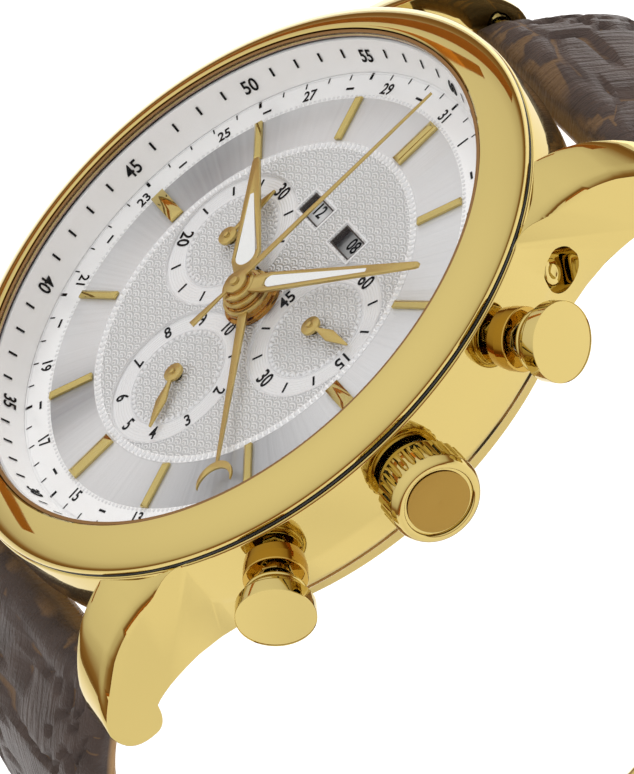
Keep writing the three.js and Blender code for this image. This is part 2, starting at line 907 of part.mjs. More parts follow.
const springEnd = bandSeat + collarLength + pusherTravel;
for (const [name, degrees] of [["start", pusherAngle], ["reset", -pusherAngle]]) {
  const group = groupAt(stemHeight, degrees);
  add(name + "_pusher", pusher(), "gold", group);
  add(name + "_pusher_tube", pusherTube(), "gold", group);
  add(name + "_pusher_spring", spring(0.92, 0.13, springSeat + fit, springEnd, 4), "steel", group);
}

const correctorGroup = groupAt(correctorHeight, correctorAngle);
const buttonBack = correctorFace - 1.35;
const correctorStop = caseBore - 0.15; // its head rests on the wall of the bore
const correctorButton = turned(
  [
    [0, correctorStop - 0.25],
    [0.6, correctorStop - 0.25],
    [0.6, correctorStop],
    [0.35, correctorStop],
    [0.35, buttonBack],
    [correctorRadius, buttonBack],
    [correctorRadius, correctorFace - 0.1],
    [correctorRadius - 0.1, correctorFace],
    [0.45, correctorFace],
    [0, correctorFace - 0.25],
  ],
  16,
);
add("corrector_button", alongX(correctorButton), "gold", correctorGroup);
add(
  "corrector_spring",
  spring(0.6, 0.11, correctorSeat + fit, buttonBack - fit, 3),
  "steel",
  correctorGroup,
);

// ---- strap --------------------------------------------------------------------------------
// The middle line is a circle about X through both spring bars. Its angle is measured from the
// bottom of the loop, positive towards 12 o'clock.
const loopCentre = barHeight - Math.sqrt(loopRadius ** 2 - barOut ** 2);
const barAngle = 180 - THREE.MathUtils.radToDeg(Math.asin(barOut / loopRadius));
const arc = (degrees) => radians(degrees) * loopRadius;
const toAngle = (length) => THREE.MathUtils.radToDeg(length / loopRadius);

function loopPoint(degrees, x, out) {
  const r = loopRadius + out;
  return new THREE.Vector3(x, r * Math.sin(radians(degrees)), loopCentre - r * Math.cos(radians(degrees)));
}

// A strap's section: crowned on the outside, thinner towards its edges.
function strapRing(degrees, width, thickness, out) {
  const [w, t] = [width / 2, thickness / 2];
  const half = [[0, -t], [w - 2, -t * 0.9], [w, -t * 0.3], [w - 0.5, t * 0.7]];
  const section = [...half, [0, t], ...half.slice(1).map(([x, n]) => [-x, n]).reverse()];
  return section.map(([x, n]) => loopPoint(degrees, x, out + n));
}

// Past the fold the padded leather stands a little outside the bars' line.
const swellAt = (along) => 0.9 * smooth(along, 0, 7) * (1 - smooth(along, 12, 27));
const widthAt = (along) => mix(strapWidth, strapEndWidth, smooth(along, 10, 60));
const nose = barRadius + 1.1; // leather around a spring bar, from its centre

// Thickness of a half, from its measure along the strap, with the rounded fold at the bar.
function thicknessAt(along, thin) {
  const fold = nose * 2 * Math.sqrt(Math.max(0.12, 1 - (Math.min(along, 0) / nose) ** 2));
  const body = mix(strapPadded, thin, smooth(along, 12, 40));
  return mix(fold, body, smooth(along, 0, 4));
}

const buckleHalfLength = arc(barAngle - buckleBarAngle);
const buckleEnd = buckleBarRadius + 1.1;

function buckleHalfThickness(along) {
  const left = buckleHalfLength - along;
  const fold = buckleEnd * 2 * Math.sqrt(Math.max(0.12, 1 - (Math.min(left, 0) / buckleEnd) ** 2));
  return mix(fold, thicknessAt(along, strapThin), smooth(left, 0, 5));
}

const boreAcross = (radius, degrees, length = 40) =>
  alongX(rod(radius, -length, length, 16)).translate(
    0,
    loopRadius * Math.sin(radians(degrees)),
    loopCentre - loopRadius * Math.cos(radians(degrees)),
  );

function spread(from, to, step) {
  const count = Math.ceil((to - from) / step);
  return Array.from({ length: count + 1 }, (_, i) => mix(from, to, i / count));
}

const tongueWidth = 2.2;

function buckleHalf() {
  const stations = [
    ...spread(-nose, 0, 0.7),
    ...spread(0, buckleHalfLength, 3).slice(1),
    ...spread(buckleHalfLength, buckleHalfLength + buckleEnd, 0.7).slice(1),
  ];
  const rings = stations.map((along) =>
    strapRing(barAngle - toAngle(along), widthAt(along), buckleHalfThickness(along), swellAt(along)),
  );
  const bottom = loopCentre - loopRadius;
  const notchTop = arc(buckleBarAngle) + buckleEnd + 0.6;
  const notchHalf = tongueWidth / 2 + 0.3;
  const notch = box([-notchHalf, notchHalf], [-6, notchTop], [bottom - 5, bottom + 6]);
  return cut(
    lofted(rings),
    boreAcross(barRadius + running, barAngle),
    boreAcross(buckleBarRadius + running, buckleBarAngle),
    notch,
  );
}
add("strap_buckle_half", buckleHalf(), "leather");

// The tail lies on the loop's line up to the buckle's front bar, climbs through the frame and
// then follows the outside of the other half.
const frontAngle = buckleBarAngle - toAngle(buckleLength);
const layerGap = 0.3;

function tailOut(degrees) {
  const along = arc(barAngle - Math.max(degrees, buckleBarAngle));
  const outside = buckleHalfThickness(along) / 2 + layerGap + tailThin / 2;
  return outside * smooth(degrees, frontAngle + 1, buckleBarAngle - 1);
}

function tailHalf() {
  const tailLength = arc(barAngle + tailEndAngle);
  const stations = [...spread(-nose, 0, 0.7), ...spread(0, tailLength, 3.2).slice(1)];
  const rings = stations.map((along) => {
    const degrees = -barAngle + toAngle(along);
    const left = tailLength - along;
    const tip = Math.sqrt(Math.max(0.04, 1 - (1 - Math.min(left / 9, 1)) ** 2));
    const out = swellAt(along) + tailOut(degrees);
    return strapRing(degrees, widthAt(along) * tip, thicknessAt(along, tailThin), out);
  });
  const punch = (degrees) =>
    rod(0.8, loopRadius - 4, loopRadius + 8, 10)
      .rotateX(Math.PI + radians(degrees))
      .translate(0, 0, loopCentre);
  const slotMiddle = buckleBarAngle - toAngle(buckleLength * 0.42);
  const slotHalf = tongueWidth / 2 + 0.25;
  const slot = box([-slotHalf, slotHalf], [-4.1, 4.1], [loopRadius - 4, loopRadius + 8])
    .rotateX(Math.PI + radians(slotMiddle))
    .translate(0, 0, loopCentre);
  const holes = [1, 2, 3, 4].map((i) => punch(slotMiddle + toAngle(6.5 * i + 2)));
  return cut(lofted(rings), boreAcross(barRadius + running, -barAngle), slot, ...holes);
}
add("strap_tail_half", tailHalf(), "leather");

function springBar() {
  const body = lugGap / 2 - 0.25;
  const tip = lugGap / 2 + barPivotLength;
  return alongX(
    turned(
      [[0, -tip], [barPivotRadius, -tip], [barPivotRadius, -body], [barRadius, -body], [barRadius, body],
        [barPivotRadius, body], [barPivotRadius, tip], [0, tip]],
      16,
    ),
  );
}
for (const side of [1, -1])
  add(side > 0 ? "spring_bar_12" : "spring_bar_6", springBar(), "steel").position.set(
    0,
    side * barOut,
    barHeight,
  );

// ---- buckle -------------------------------------------------------------------------------
// A flat frame of reference on the loop: t runs along the strap towards 6 o'clock, n points out.
function onLoop(geometry, degrees) {
  const angle = radians(degrees);
  const [y, z] = [loopRadius * Math.sin(angle), loopCentre - loopRadius * Math.cos(angle)];
  return geometry.rotateX(Math.PI + angle).translate(0, y, z);
}

const frameHalfWidth = strapEndWidth / 2 + 0.7;
const frontOut = tailThin / 2 + layerGap + buckleWire + 0.25;

// A round bar between two points of the buckle's own frame, which stands at its spring bar.
function strut(from, to, radius) {
  const path = new THREE.LineCurve3(new THREE.Vector3(...from), new THREE.Vector3(...to));
  const section = new THREE.Shape().absarc(0, 0, radius, 0, 2 * Math.PI);
  const along = { steps: 1, curveSegments: 6, bevelEnabled: false, extrudePath: path };
  return new THREE.ExtrudeGeometry(section, along);
}

const turn = radians(buckleBarAngle - frontAngle);
const frontY = (loopRadius + frontOut) * Math.sin(turn);
const frontZ = (loopRadius + frontOut) * Math.cos(turn) - loopRadius;

function buckleFrame() {
  const x = frameHalfWidth + buckleWire;
  const arms = [-x, x].map((side) => {
    const arm = strut([side, 0, 0], [side, frontY, frontZ], buckleWire);
    return cut(
      joined(arm, alongX(rod(buckleWire + 0.35, side - buckleWire, side + buckleWire, 20))),
      alongX(rod(barPivotRadius + running, -frameHalfWidth - 0.9, frameHalfWidth + 0.9, 12)),
    );
  });
  const front = strut([-x, frontY, frontZ], [x, frontY, frontZ], buckleWire + 0.15);
  const corners = [-x, x].map((side) =>
    new THREE.SphereGeometry(buckleWire + 0.15, 8, 6).translate(side, frontY, frontZ),
  );
  return joined(front, ...arms, ...corners);
}

function buckleTongue() {
  const reach = tongueWidth / 2;
  const eye = alongX(ring(buckleBarRadius + running, buckleBarRadius + 0.85, -reach, reach, 20));
  const half = (tongueWidth - 0.6) / 2;
  const rest = frontZ + buckleWire + 0.15 + 0.1;
  const side = [
    [0.4, 0.95],
    [0.9, 1.65],
    [frontY * 0.55, rest + 0.75],
    [frontY + 1.5, rest + 1.05],
    [frontY + 2.1, rest + 0.6],
    [frontY + 1.6, rest],
    [frontY - 0.6, rest],
    [frontY * 0.5, rest - 0.35],
    [1.5, 0.3],
  ];
  const pin = plate(outlined(side), -half, half * 2).rotateY(Math.PI / 2).rotateX(Math.PI / 2);
  return cut(joined(eye, pin), alongX(rod(buckleBarRadius + running, -5, 5, 20)));
}

function buckleBar() {
  const body = frameHalfWidth - 0.1;
  const tip = frameHalfWidth + 0.8;
  return alongX(
    turned(
      [[0, -tip], [barPivotRadius, -tip], [barPivotRadius, -body], [buckleBarRadius, -body],
        [buckleBarRadius, body], [barPivotRadius, body], [barPivotRadius, tip], [0, tip]],
      16,
    ),
  );
}

add("buckle_frame", onLoop(buckleFrame(), buckleBarAngle), "gold");
add("buckle_tongue", onLoop(buckleTongue(), buckleBarAngle), "gold");
add("buckle_spring_bar", onLoop(buckleBar(), buckleBarAngle), "steel");

// A keeper is a closed band of leather round both layers of the strap.
function keeper(degrees) {
  const along = arc(barAngle - degrees);
  const slack = 0.4;
  const low = -buckleHalfThickness(along) / 2 - slack;
  const high = tailOut(degrees) + tailThin / 2 + slack;
  const x = widthAt(along) / 2 + slack;
  const reach = keeperLength / 2;
  const outer = box(
    [-x - keeperWall, x + keeperWall],
    [-reach, reach],
    [low - keeperWall, high + keeperWall],
  );
  return onLoop(cut(outer, box([-x, x], [-reach - 1, reach + 1], [low, high])), degrees);
}
add("keeper_fixed", keeper(fixedKeeperAngle), "leather");
add("keeper_free", keeper(freeKeeperAngle), "leather");

export default watch;
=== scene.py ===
import json
import math
import bpy
from mathutils import Matrix, Vector, noise


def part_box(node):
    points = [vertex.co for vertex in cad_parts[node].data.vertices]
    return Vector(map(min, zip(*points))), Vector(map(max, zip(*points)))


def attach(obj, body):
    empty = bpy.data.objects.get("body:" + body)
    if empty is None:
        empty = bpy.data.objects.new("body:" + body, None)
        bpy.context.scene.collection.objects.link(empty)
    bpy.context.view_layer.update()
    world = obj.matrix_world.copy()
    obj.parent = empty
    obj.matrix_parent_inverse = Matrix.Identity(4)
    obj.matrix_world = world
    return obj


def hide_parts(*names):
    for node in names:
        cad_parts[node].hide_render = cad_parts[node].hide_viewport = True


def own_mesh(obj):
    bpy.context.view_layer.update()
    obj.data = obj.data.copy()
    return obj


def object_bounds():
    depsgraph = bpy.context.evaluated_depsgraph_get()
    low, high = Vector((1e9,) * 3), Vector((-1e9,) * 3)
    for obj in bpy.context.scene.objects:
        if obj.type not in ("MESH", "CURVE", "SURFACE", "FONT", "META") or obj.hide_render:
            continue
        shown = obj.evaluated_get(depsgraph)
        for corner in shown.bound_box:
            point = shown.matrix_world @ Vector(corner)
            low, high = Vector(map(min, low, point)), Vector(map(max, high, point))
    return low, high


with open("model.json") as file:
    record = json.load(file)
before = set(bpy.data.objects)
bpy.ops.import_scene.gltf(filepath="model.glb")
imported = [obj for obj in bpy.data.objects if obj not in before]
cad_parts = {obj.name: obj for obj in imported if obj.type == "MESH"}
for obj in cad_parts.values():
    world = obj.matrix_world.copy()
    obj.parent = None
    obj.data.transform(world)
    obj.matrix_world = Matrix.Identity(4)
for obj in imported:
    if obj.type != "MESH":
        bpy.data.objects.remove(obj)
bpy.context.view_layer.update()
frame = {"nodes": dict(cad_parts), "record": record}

mm = 0.001  # pieces are modelled in millimetres and shrunk to metres when they are fitted
caseBody = "watch_case"


def boxOf(node):  # a CAD node's corners in millimetres
    low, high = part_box(node)
    return Vector(low) / mm, Vector(high) / mm


def smooth(value, start, end):
    share = min(max((value - start) / (end - start), 0), 1)
    return share * share * (3 - 2 * share)


def mix(a, b, share):
    return a + (b - a) * share


def bodyOf(node):
    bodies = frame["record"]["behaviour"]["bodies"]
    return next(body for body, nodes in bodies.items() if node in nodes)


def jointWith(key, value):
    return next(joint for joint in frame["record"]["behaviour"]["joints"] if joint[key] == value)


def rectangle(x, y, wide, high):  # corners from a middle and half sizes
    return [(x - wide, y - high), (x + wide, y - high), (x + wide, y + high), (x - wide, y + high)]


def aimed(place, target):  # the turn that faces a lamp or card at its target
    return (Vector(place) - Vector(target)).to_track_quat("Z", "Y").to_euler()


print("camera")
bpy.ops.object.camera_add()
camera = bpy.context.object
camera.data.sensor_width = 36
camera.data.lens = 412.03
camera.data.clip_end = 20
across = Vector((0.39431, 0.71974, -0.5714))
upward = Vector((-0.43419, 0.69391, 0.57443))
backward = Vector((0.80994, 0.02159, 0.58611))
facing = Matrix((across, upward, backward)).transposed().to_4x4()
camera.matrix_world = Matrix.Translation((0.43683, 0.01067, 0.31624)) @ facing
bpy.context.scene.camera = camera


print("finishes")


class Signal:  # a value inside a finish, so that its sums read as sums
    def __init__(self, finish, socket):
        self.finish = finish
        self.socket = socket

    def sum(self, operation, *values):
        return self.finish.node("ShaderNodeMath", {"operation": operation}, dict(enumerate(values)))

    def __add__(self, other):
        return self.sum("ADD", self, other)

    def __radd__(self, other):
        return self.sum("ADD", other, self)

    def __sub__(self, other):
        return self.sum("SUBTRACT", self, other)

    def __rsub__(self, other):
        return self.sum("SUBTRACT", other, self)

    def __mul__(self, other):
        return self.sum("MULTIPLY", self, other)

    def __truediv__(self, other):
        return self.sum("DIVIDE", self, other)

    def __pow__(self, other):
        return self.sum("POWER", self, other)

    def __lt__(self, other):
        return self.sum("LESS_THAN", self, other)

    def __gt__(self, other):
        return self.sum("GREATER_THAN", self, other)

    def sin(self):
        return self.sum("SINE", self)

    def cos(self):
        return self.sum("COSINE", self)

    def floor(self):
        return self.sum("FLOOR", self)

    def fraction(self):
        return self.sum("FRACT", self)

    def above(self, other):
        return self.sum("MAXIMUM", self, other)

    def below(self, other):
        return self.sum("MINIMUM", self, other)


class Finish:
    def __init__(self, name, color, roughness, metallic=0.0, **sockets):
        self.material = bpy.data.materials.new(name)
        self.material.use_nodes = True
        self.tree = self.material.node_tree
        self.shader = self.tree.nodes["Principled BSDF"]
        values = {"Base Color": (*color, 1), "Roughness": roughness, "Metallic": metallic, **sockets}
        for socket, value in values.items():
            self.shader.inputs[socket].default_value = value

    def node(self, kind, settings=None, values=None, output=0):
        new = self.tree.nodes.new(kind)
        for key, value in (settings or {}).items():
            if key == "stops":
                for _ in range(len(value) - 2):
                    new.color_ramp.elements.new(0.5)
                for element, (place, shade) in zip(new.color_ramp.elements, value):
                    element.position = place
                    element.color = (*shade, 1)
            else:
                setattr(new, key, value)
        for key, value in (values or {}).items():
            if isinstance(value, Signal):
                self.tree.links.new(value.socket, new.inputs[key])
            else:
                new.inputs[key].default_value = value
        return Signal(self, new.outputs[output])

    def spot(self):  # the place on the piece, in millimetres
        where = self.node("ShaderNodeTexCoord", output="Object")
        return self.node("ShaderNodeVectorMath", {"operation": "SCALE"}, {"Vector": where, "Scale": 1 / mm})

    def axes(self):
        apart = self.node("ShaderNodeSeparateXYZ", values={0: self.spot()}).socket.node
        return [Signal(self, apart.outputs[i]) for i in range(3)]

    def grain(self, scale, detail=3.0, vector=None):
        return self.node("ShaderNodeTexNoise", {}, {
            "Vector": vector or self.spot(), "Scale": scale, "Detail": detail, "Roughness": 0.5})

    def blend(self, share, first, second):
        mixer = self.tree.nodes.new("ShaderNodeMix")
        mixer.data_type = "RGBA"
        for socket, value in ((mixer.inputs[0], share), (mixer.inputs[6], first), (mixer.inputs[7], second)):
            if isinstance(value, Signal):
                self.tree.links.new(value.socket, socket)
            else:
                socket.default_value = (*value, 1) if isinstance(value, tuple) else value
        return Signal(self, mixer.outputs[2])

    def feed(self, socket, value):
        self.tree.links.new(value.socket, self.shader.inputs[socket])

    def emboss(self, height, depth, strength=1.0):
        bump = self.node("ShaderNodeBump", {}, {"Strength": strength, "Distance": depth * mm, "Height": height})
        self.feed("Normal", bump)


def polishedGold(name="polished_gold", color=(0.62, 0.485, 0.175), roughness=0.035):
    gold = Finish(name, color, roughness, 1.0)
    haze = gold.grain(0.35, 2.0)
    gold.feed("Roughness", haze * 0.035 + (roughness - 0.01))
    gold.feed("Base Color", gold.blend(gold.grain(0.12, 1.0), tuple(c * 0.96 for c in color), color))
    return gold


def satinGold(name="satin_gold", color=(0.62, 0.46, 0.16), roughness=0.3):
    gold = Finish(name, color, roughness, 1.0)
    fine = gold.grain(9.0, 2.0)
    gold.feed("Roughness", fine * 0.12 + (roughness - 0.06))
    gold.emboss(fine, 0.002, 0.4)
    return gold


def satinSteel(name, color, roughness, pitch=0.12):
    steel = Finish(name, color, roughness, 1.0)
    x, y = steel.axes()[:2]
    radius = (x * x + y * y) ** 0.5
    turning = (radius * (2 * math.pi / pitch)).sin() * 0.5 + 0.5
    steel.feed("Roughness", steel.grain(1.4) * 0.12 + (roughness - 0.06))
    steel.emboss(turning, 0.004, 0.5)
    return steel


def plainFinish(name, color, roughness, metallic=0.0, scale=4.0, depth=0.004, **sockets):
    plain = Finish(name, color, roughness, metallic, **sockets)
    fine = plain.grain(scale)
    darker = tuple(c * 0.9 for c in color)
    lighter = tuple(min(c * 1.08, 1) for c in color)
    plain.feed("Base Color", plain.blend(fine, darker, lighter))
    plain.feed("Roughness", fine * 0.1 + (roughness - 0.05))
    plain.emboss(fine, depth, 0.5)
    return plain


dialPattern = {
    "pitch": 1.24, "radius": 0.62, "row": 0.31, "line": 0.2067, "depth": 0.09, "disc": 11.4,
    "bandIn": 3.42, "bandOut": 4.9, "bandLine": 0.19, "rayStart": 11.9, "rayEnd": 15.2, "rayGrain": 45,
    "shadeWedges": ((2.90, 16), (-0.62, 12), (-2.0, 60)),  # each painted shade wedge's direction and how narrow it is, where the sunray brushing reflects no light
}
dialShades = {
    "scales": (0.97, 0.97, 0.97), "groove": (0.4, 0.4, 0.41), "band": (0.66, 0.66, 0.67),
    "rays": (0.68, 0.68, 0.685), "shadeWedge": (0.30, 0.30, 0.31),
}


def wave(distance, pitch):  # 1 on each line and 0 halfway between two
    return (distance * (2 * math.pi / pitch)).cos() * 0.5 + 0.5


def scaleRelief(x, y):  # rows of overlapping scales with rings inside each
    size = dialPattern
    row = (y / size["row"]).floor()
    height = None
    for back in (0, 1):
        line = row - back
        shift = (line * 0.5).fraction()
        column = ((x / size["pitch"] - shift + 0.5).floor() + shift) * size["pitch"]
        dx = x - column
        dy = y - line * size["row"]
        away = (dx * dx + dy * dy) ** 0.5
        rings = wave(away, size["line"])
        inside = away < size["radius"]
        height = rings if height is None else height + inside * (rings - height)
    return height


def counterBands(x, y, centres):  # where the turned bands lie, and their grooves
    size = dialPattern
    inBand = None
    turning = None
    for cx, cy in centres:
        dx = x - cx
        dy = y - cy
        away = (dx * dx + dy * dy) ** 0.5
        here = (away < size["bandOut"]) * (away > size["bandIn"])
        grooves = here * wave(away, size["bandLine"])
        inBand = here if inBand is None else inBand + here
        turning = grooves if turning is None else turning + grooves
    return inBand, turning


def stampedSilver(centres):  # scales, turned bands round the counters and a sunray ring, with painted shade in the scales' grooves and painted dark wedges on the sunray ring
    size = dialPattern
    shades = dialShades
    silver = Finish("stamped_silver", (0.84, 0.84, 0.85), 0.34, 0.22)
    x, y = silver.axes()[:2]
    radius = (x * x + y * y) ** 0.5
    height = scaleRelief(x, y)
    inBand, turning = counterBands(x, y, centres)
    stamped = (radius < size["disc"]) * (1 - inBand)
    angle = x.sum("ARCTAN2", y, x)
    onRays = (radius > size["rayStart"]) * (radius < size["rayEnd"])
    streaks = silver.node("ShaderNodeTexNoise", {"noise_dimensions": "1D"}, {
        "W": angle * size["rayGrain"], "Scale": 1.0, "Detail": 4.0})
    shadeWedges = None
    for middle, narrowness in size["shadeWedges"]:
        shadeWedge = ((angle - middle).cos().above(0)) ** narrowness
        shadeWedges = shadeWedge if shadeWedges is None else shadeWedges + shadeWedge
    # painted shade: dark wedges on the sunray ring, broken up by the brushing's streaks
    dark = onRays * (shadeWedges.below(1) * 0.85 + (streaks - 0.5) * 0.3).above(0)
    plain = silver.blend(onRays, shades["scales"], shades["rays"])
    shaded = silver.blend(dark.below(1), plain, shades["shadeWedge"])
    banded = silver.blend(inBand * 0.6, shaded, shades["band"])
    # painted shade in the scales' grooves: darker where the relief is low
    silver.feed("Base Color", silver.blend(stamped * (1 - height) * 0.6, banded, shades["groove"]))
    silver.feed("Roughness", 0.36 - onRays * 0.08)
    silver.emboss(stamped * height + turning * 0.22 + onRays * streaks * 0.25, size["depth"], 1.0)
    return silver


def crocodileLeather():
    leather = Finish("crocodile_leather", (0.05, 0.042, 0.038), 0.42, 0.0, **{"Specular IOR Level": 0.32})
    crease = leather.node("ShaderNodeAttribute", {"attribute_name": "crease"}, output="Fac")
    lining = leather.node("ShaderNodeAttribute", {"attribute_name": "lining"}, output="Fac")
    broad = leather.grain(0.45, 3.0)
    pores = leather.grain(5.5, 4.0)
    stretched = leather.node("ShaderNodeVectorMath", {"operation": "MULTIPLY"}, {
        0: leather.spot(), 1: (3.4, 0.42, 0.42)})
    wrinkles = leather.grain(0.9, 4.0, stretched)
    top = leather.blend(broad, (0.022, 0.014, 0.012), (0.084, 0.058, 0.049))
    tan = leather.blend(pores, (0.13, 0.065, 0.025), (0.34, 0.20, 0.08))
    worn = leather.blend(((crease - 0.8) * 2.6).above(0).below(0.42), top, tan)
    under = leather.blend(pores, (0.33, 0.19, 0.08), (0.47, 0.30, 0.14))
    leather.feed("Base Color", leather.blend(lining, worn, under))
    leather.feed("Roughness", 0.36 + crease * 0.3 + pores * 0.12 + lining * 0.15)
    leather.emboss(pores * 0.4 + wrinkles * 1.8, 0.22, 0.75)
    return leather


counterHands = ("minute_counter_hand", "small_seconds_hand", "hour_counter_hand")
counterCentres = []
for hand in counterHands:
    pivot = jointWith("child", bodyOf(hand))["pos_m"]
    counterCentres.append((pivot[0] / mm, pivot[1] / mm))

gold = polishedGold()
handGold = satinGold()
# painted shade: darker, warmer copies of the gold for the hub collars and wheels under the hands, the pushers'
# collars and the crown's disc
shadedAmberGold = polishedGold("amber_gold_painted_shade", (0.42, 0.20, 0.03), 0.06)
shadedCollarGold = polishedGold("collar_gold_painted_shade", (0.52, 0.33, 0.07), 0.04)
shadedDiscGold = satinGold("disc_gold_painted_shade", (0.36, 0.22, 0.05), 0.38)
backGold = satinSteel("turned_gold", (0.52, 0.40, 0.15), 0.24)
brightSteel = plainFinish("bright_steel", (0.66, 0.66, 0.65), 0.16, 1.0)
dialSilver = stampedSilver(counterCentres)
flangeWhite = satinSteel("flange_silver", (0.95, 0.95, 0.95), 0.4, 0.16)
flangeWhite.shader.inputs["Metallic"].default_value = 0.1
pearl = plainFinish("bead_silver", (0.82, 0.82, 0.83), 0.3, 0.35, 6.0, 0.002)
discWhite = plainFinish("disc_white", (0.72, 0.72, 0.72), 0.5, 0.0, 3.0, 0.002)
ink = plainFinish("black_ink", (0.006, 0.006, 0.007), 0.6, 0.0, 8.0, 0.001, **{"Specular IOR Level": 0.1})
infillWhite = plainFinish("white_infill", (0.78, 0.79, 0.78), 0.6, 0.0, 12.0, 0.004)
rubber = plainFinish("black_rubber", (0.02, 0.02, 0.02), 0.6, 0.0, 5.0, 0.01)
brass = plainFinish("turned_brass", (0.55, 0.42, 0.16), 0.3, 1.0, 6.0, 0.003)
circuitGreen = plainFinish("circuit_green", (0.03, 0.12, 0.05), 0.35, 0.0, 2.0, 0.01)
mouldedPlastic = plainFinish("moulded_plastic", (0.62, 0.61, 0.57), 0.45, 0.0, 2.5, 0.006)
leather = crocodileLeather()


sealReflectionStops = [  # painted reflection and shadow on the crystal's seal, seen through the glass: dark, rose brown, gold and dark again
    (0.0, (0.01, 0.008, 0.006)), (0.2, (0.012, 0.009, 0.007)), (0.3, (0.42, 0.26, 0.19)),
    (0.5, (0.62, 0.45, 0.2)), (0.62, (0.66, 0.5, 0.2)), (0.72, (0.06, 0.03, 0.01)), (1.0, (0.25, 0.13, 0.04)),
]


# the seal's colour by height is painted reflection and shadow
def sealFinish():
    seal = Finish("crystal_seal_painted_reflection", (0.4, 0.25, 0.15), 0.25, 0.6)
    low, high = boxOf("crystal_gasket")
    share = (seal.axes()[2] - low.z) / (high.z - low.z)
    seal.feed("Base Color", seal.node("ShaderNodeValToRGB", {"stops": sealReflectionStops}, {"Fac": share}))
    return seal


sealPaintedReflection = sealFinish()

glass = Finish("clear_crystal", (0.01, 0.012, 0.016), 0.0, 0.0, IOR=1.6)
glass.feed("Alpha", glass.grain(0.05, 0.0) * 0.01 + 0.05)


def clear():
    if bpy.context.object and bpy.context.object.mode != "OBJECT":
        bpy.ops.object.mode_set(mode="OBJECT")
    bpy.ops.object.select_all(action="DESELECT")


def pick(*pieces):
    clear()
    for piece in pieces:
        piece.select_set(True)
    bpy.context.view_layer.objects.active = pieces[-1]
    return pieces[-1]


def drawn(name, points, closed=True, filled=False):  # a line of points, drawn one after another
    clear()
    bpy.ops.mesh.primitive_plane_add(size=1)
    piece = bpy.context.object
    piece.name = name
    bpy.ops.object.mode_set(mode="EDIT")
    bpy.ops.mesh.select_all(action="SELECT")
    bpy.ops.mesh.merge(type="CENTER")
    route = [Vector(point) for point in points]
    bpy.ops.transform.translate(value=route[0])
    for start, end in zip(route, route[1:] + ([route[0]] if closed else [])):
        bpy.ops.mesh.extrude_vertices_move(TRANSFORM_OT_translate={"value": end - start})
    bpy.ops.mesh.select_all(action="SELECT")
    bpy.ops.mesh.remove_doubles(threshold=0.0005)
    if filled:
        bpy.ops.mesh.select_all(action="SELECT")
        bpy.ops.mesh.edge_face_add()
    return piece


def closeUp():  # merge what lies together and turn the faces outwards
    bpy.ops.mesh.select_all(action="SELECT")
    bpy.ops.mesh.remove_doubles(threshold=0.0008)
    bpy.ops.mesh.normals_make_consistent(inside=False)
    bpy.ops.object.mode_set(mode="OBJECT")


def turned(name, profile, steps=160, closed=True):  # a profile of (radius, height) spun round Z
    piece = drawn(name, [(radius, 0, height) for radius, height in profile], closed)
    bpy.ops.mesh.select_all(action="SELECT")
    bpy.ops.mesh.spin(steps=steps, angle=2 * math.pi, center=(0, 0, 0), axis=(0, 0, 1))
    closeUp()
    return piece


def raised(name, outline, low, high):  # an outline of (x, y) given a thickness
    piece = drawn(name, [(x, y, low) for x, y in outline], filled=True)
    bpy.ops.mesh.extrude_region_move(TRANSFORM_OT_translate={"value": (0, 0, high - low)})
    closeUp()
    return piece


def rounded(corners, radius, cuts=4):  # the same outline with its corners rounded
    points = []
    for index, corner in enumerate(corners):
        here = Vector(corner)
        before = Vector(corners[index - 1]) - here
        after = Vector(corners[(index + 1) % len(corners)]) - here
        reach = min(radius, before.length * 0.45, after.length * 0.45)
        start = here + before.normalized() * reach
        end = here + after.normalized() * reach
        for step in range(cuts + 1):
            share = step / cuts
            points.append(tuple(mix(mix(start, here, share), mix(here, end, share), share)))
    return points


def placed(piece, place=(0, 0, 0), turn=(0, 0, 0), size=(1, 1, 1)):
    pick(piece)
    piece.location = place
    piece.rotation_euler = turn
    piece.scale = size
    bpy.ops.object.transform_apply(location=True, rotation=True, scale=True)
    return piece


def copied(piece, name, place=(0, 0, 0), turn=(0, 0, 0), size=(1, 1, 1)):
    pick(piece)
    bpy.ops.object.duplicate()
    twin = bpy.context.object
    twin.name = name
    return placed(twin, place, turn, size)


def facingOut(piece):
    pick(piece)
    bpy.ops.object.mode_set(mode="EDIT")
    closeUp()
    return piece


def withModifier(piece, kind, **settings):
    pick(piece)
    modifier = piece.modifiers.new(kind.title(), kind)
    for key, value in settings.items():
        setattr(modifier, key, value)
    bpy.ops.object.modifier_apply(modifier=modifier.name)
    return piece


def softened(piece, width, angle=30, segments=2):
    return withModifier(piece, "BEVEL", width=width, segments=segments, limit_method="ANGLE",
                        angle_limit=math.radians(angle), harden_normals=False)


def carved(piece, tool, operation="DIFFERENCE", solver="EXACT"):
    withModifier(piece, "BOOLEAN", object=tool, operation=operation, solver=solver)
    bpy.data.objects.remove(tool)
    return piece


def reshaped(piece, rule):  # every point moved by one rule
    for point in piece.data.vertices:
        point.co = rule(point.co)
    piece.data.update()
    return piece


def around(piece, count):  # the piece repeated round Z
    clear()
    bpy.ops.object.empty_add()
    pivot = bpy.context.object
    pivot.rotation_euler = (0, 0, 2 * math.pi / count)
    bpy.context.view_layer.update()
    withModifier(piece, "ARRAY", count=count, use_relative_offset=False, use_object_offset=True,
                 offset_object=pivot)
    bpy.data.objects.remove(pivot)
    return piece


def joined(name, pieces):
    pick(*pieces)
    if len(pieces) > 1:
        bpy.ops.object.join()
    whole = bpy.context.object
    whole.name = name
    return whole


def fitted(piece, name, finish, body, nodes=(), angle=30):
    placed(piece, size=(mm, mm, mm))
    piece.name = name
    bpy.ops.object.shade_smooth_by_angle(angle=math.radians(angle))
    piece.data.materials.clear()
    piece.data.materials.append(finish.material)
    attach(piece, body)
    if nodes:
        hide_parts(*nodes)
    return piece


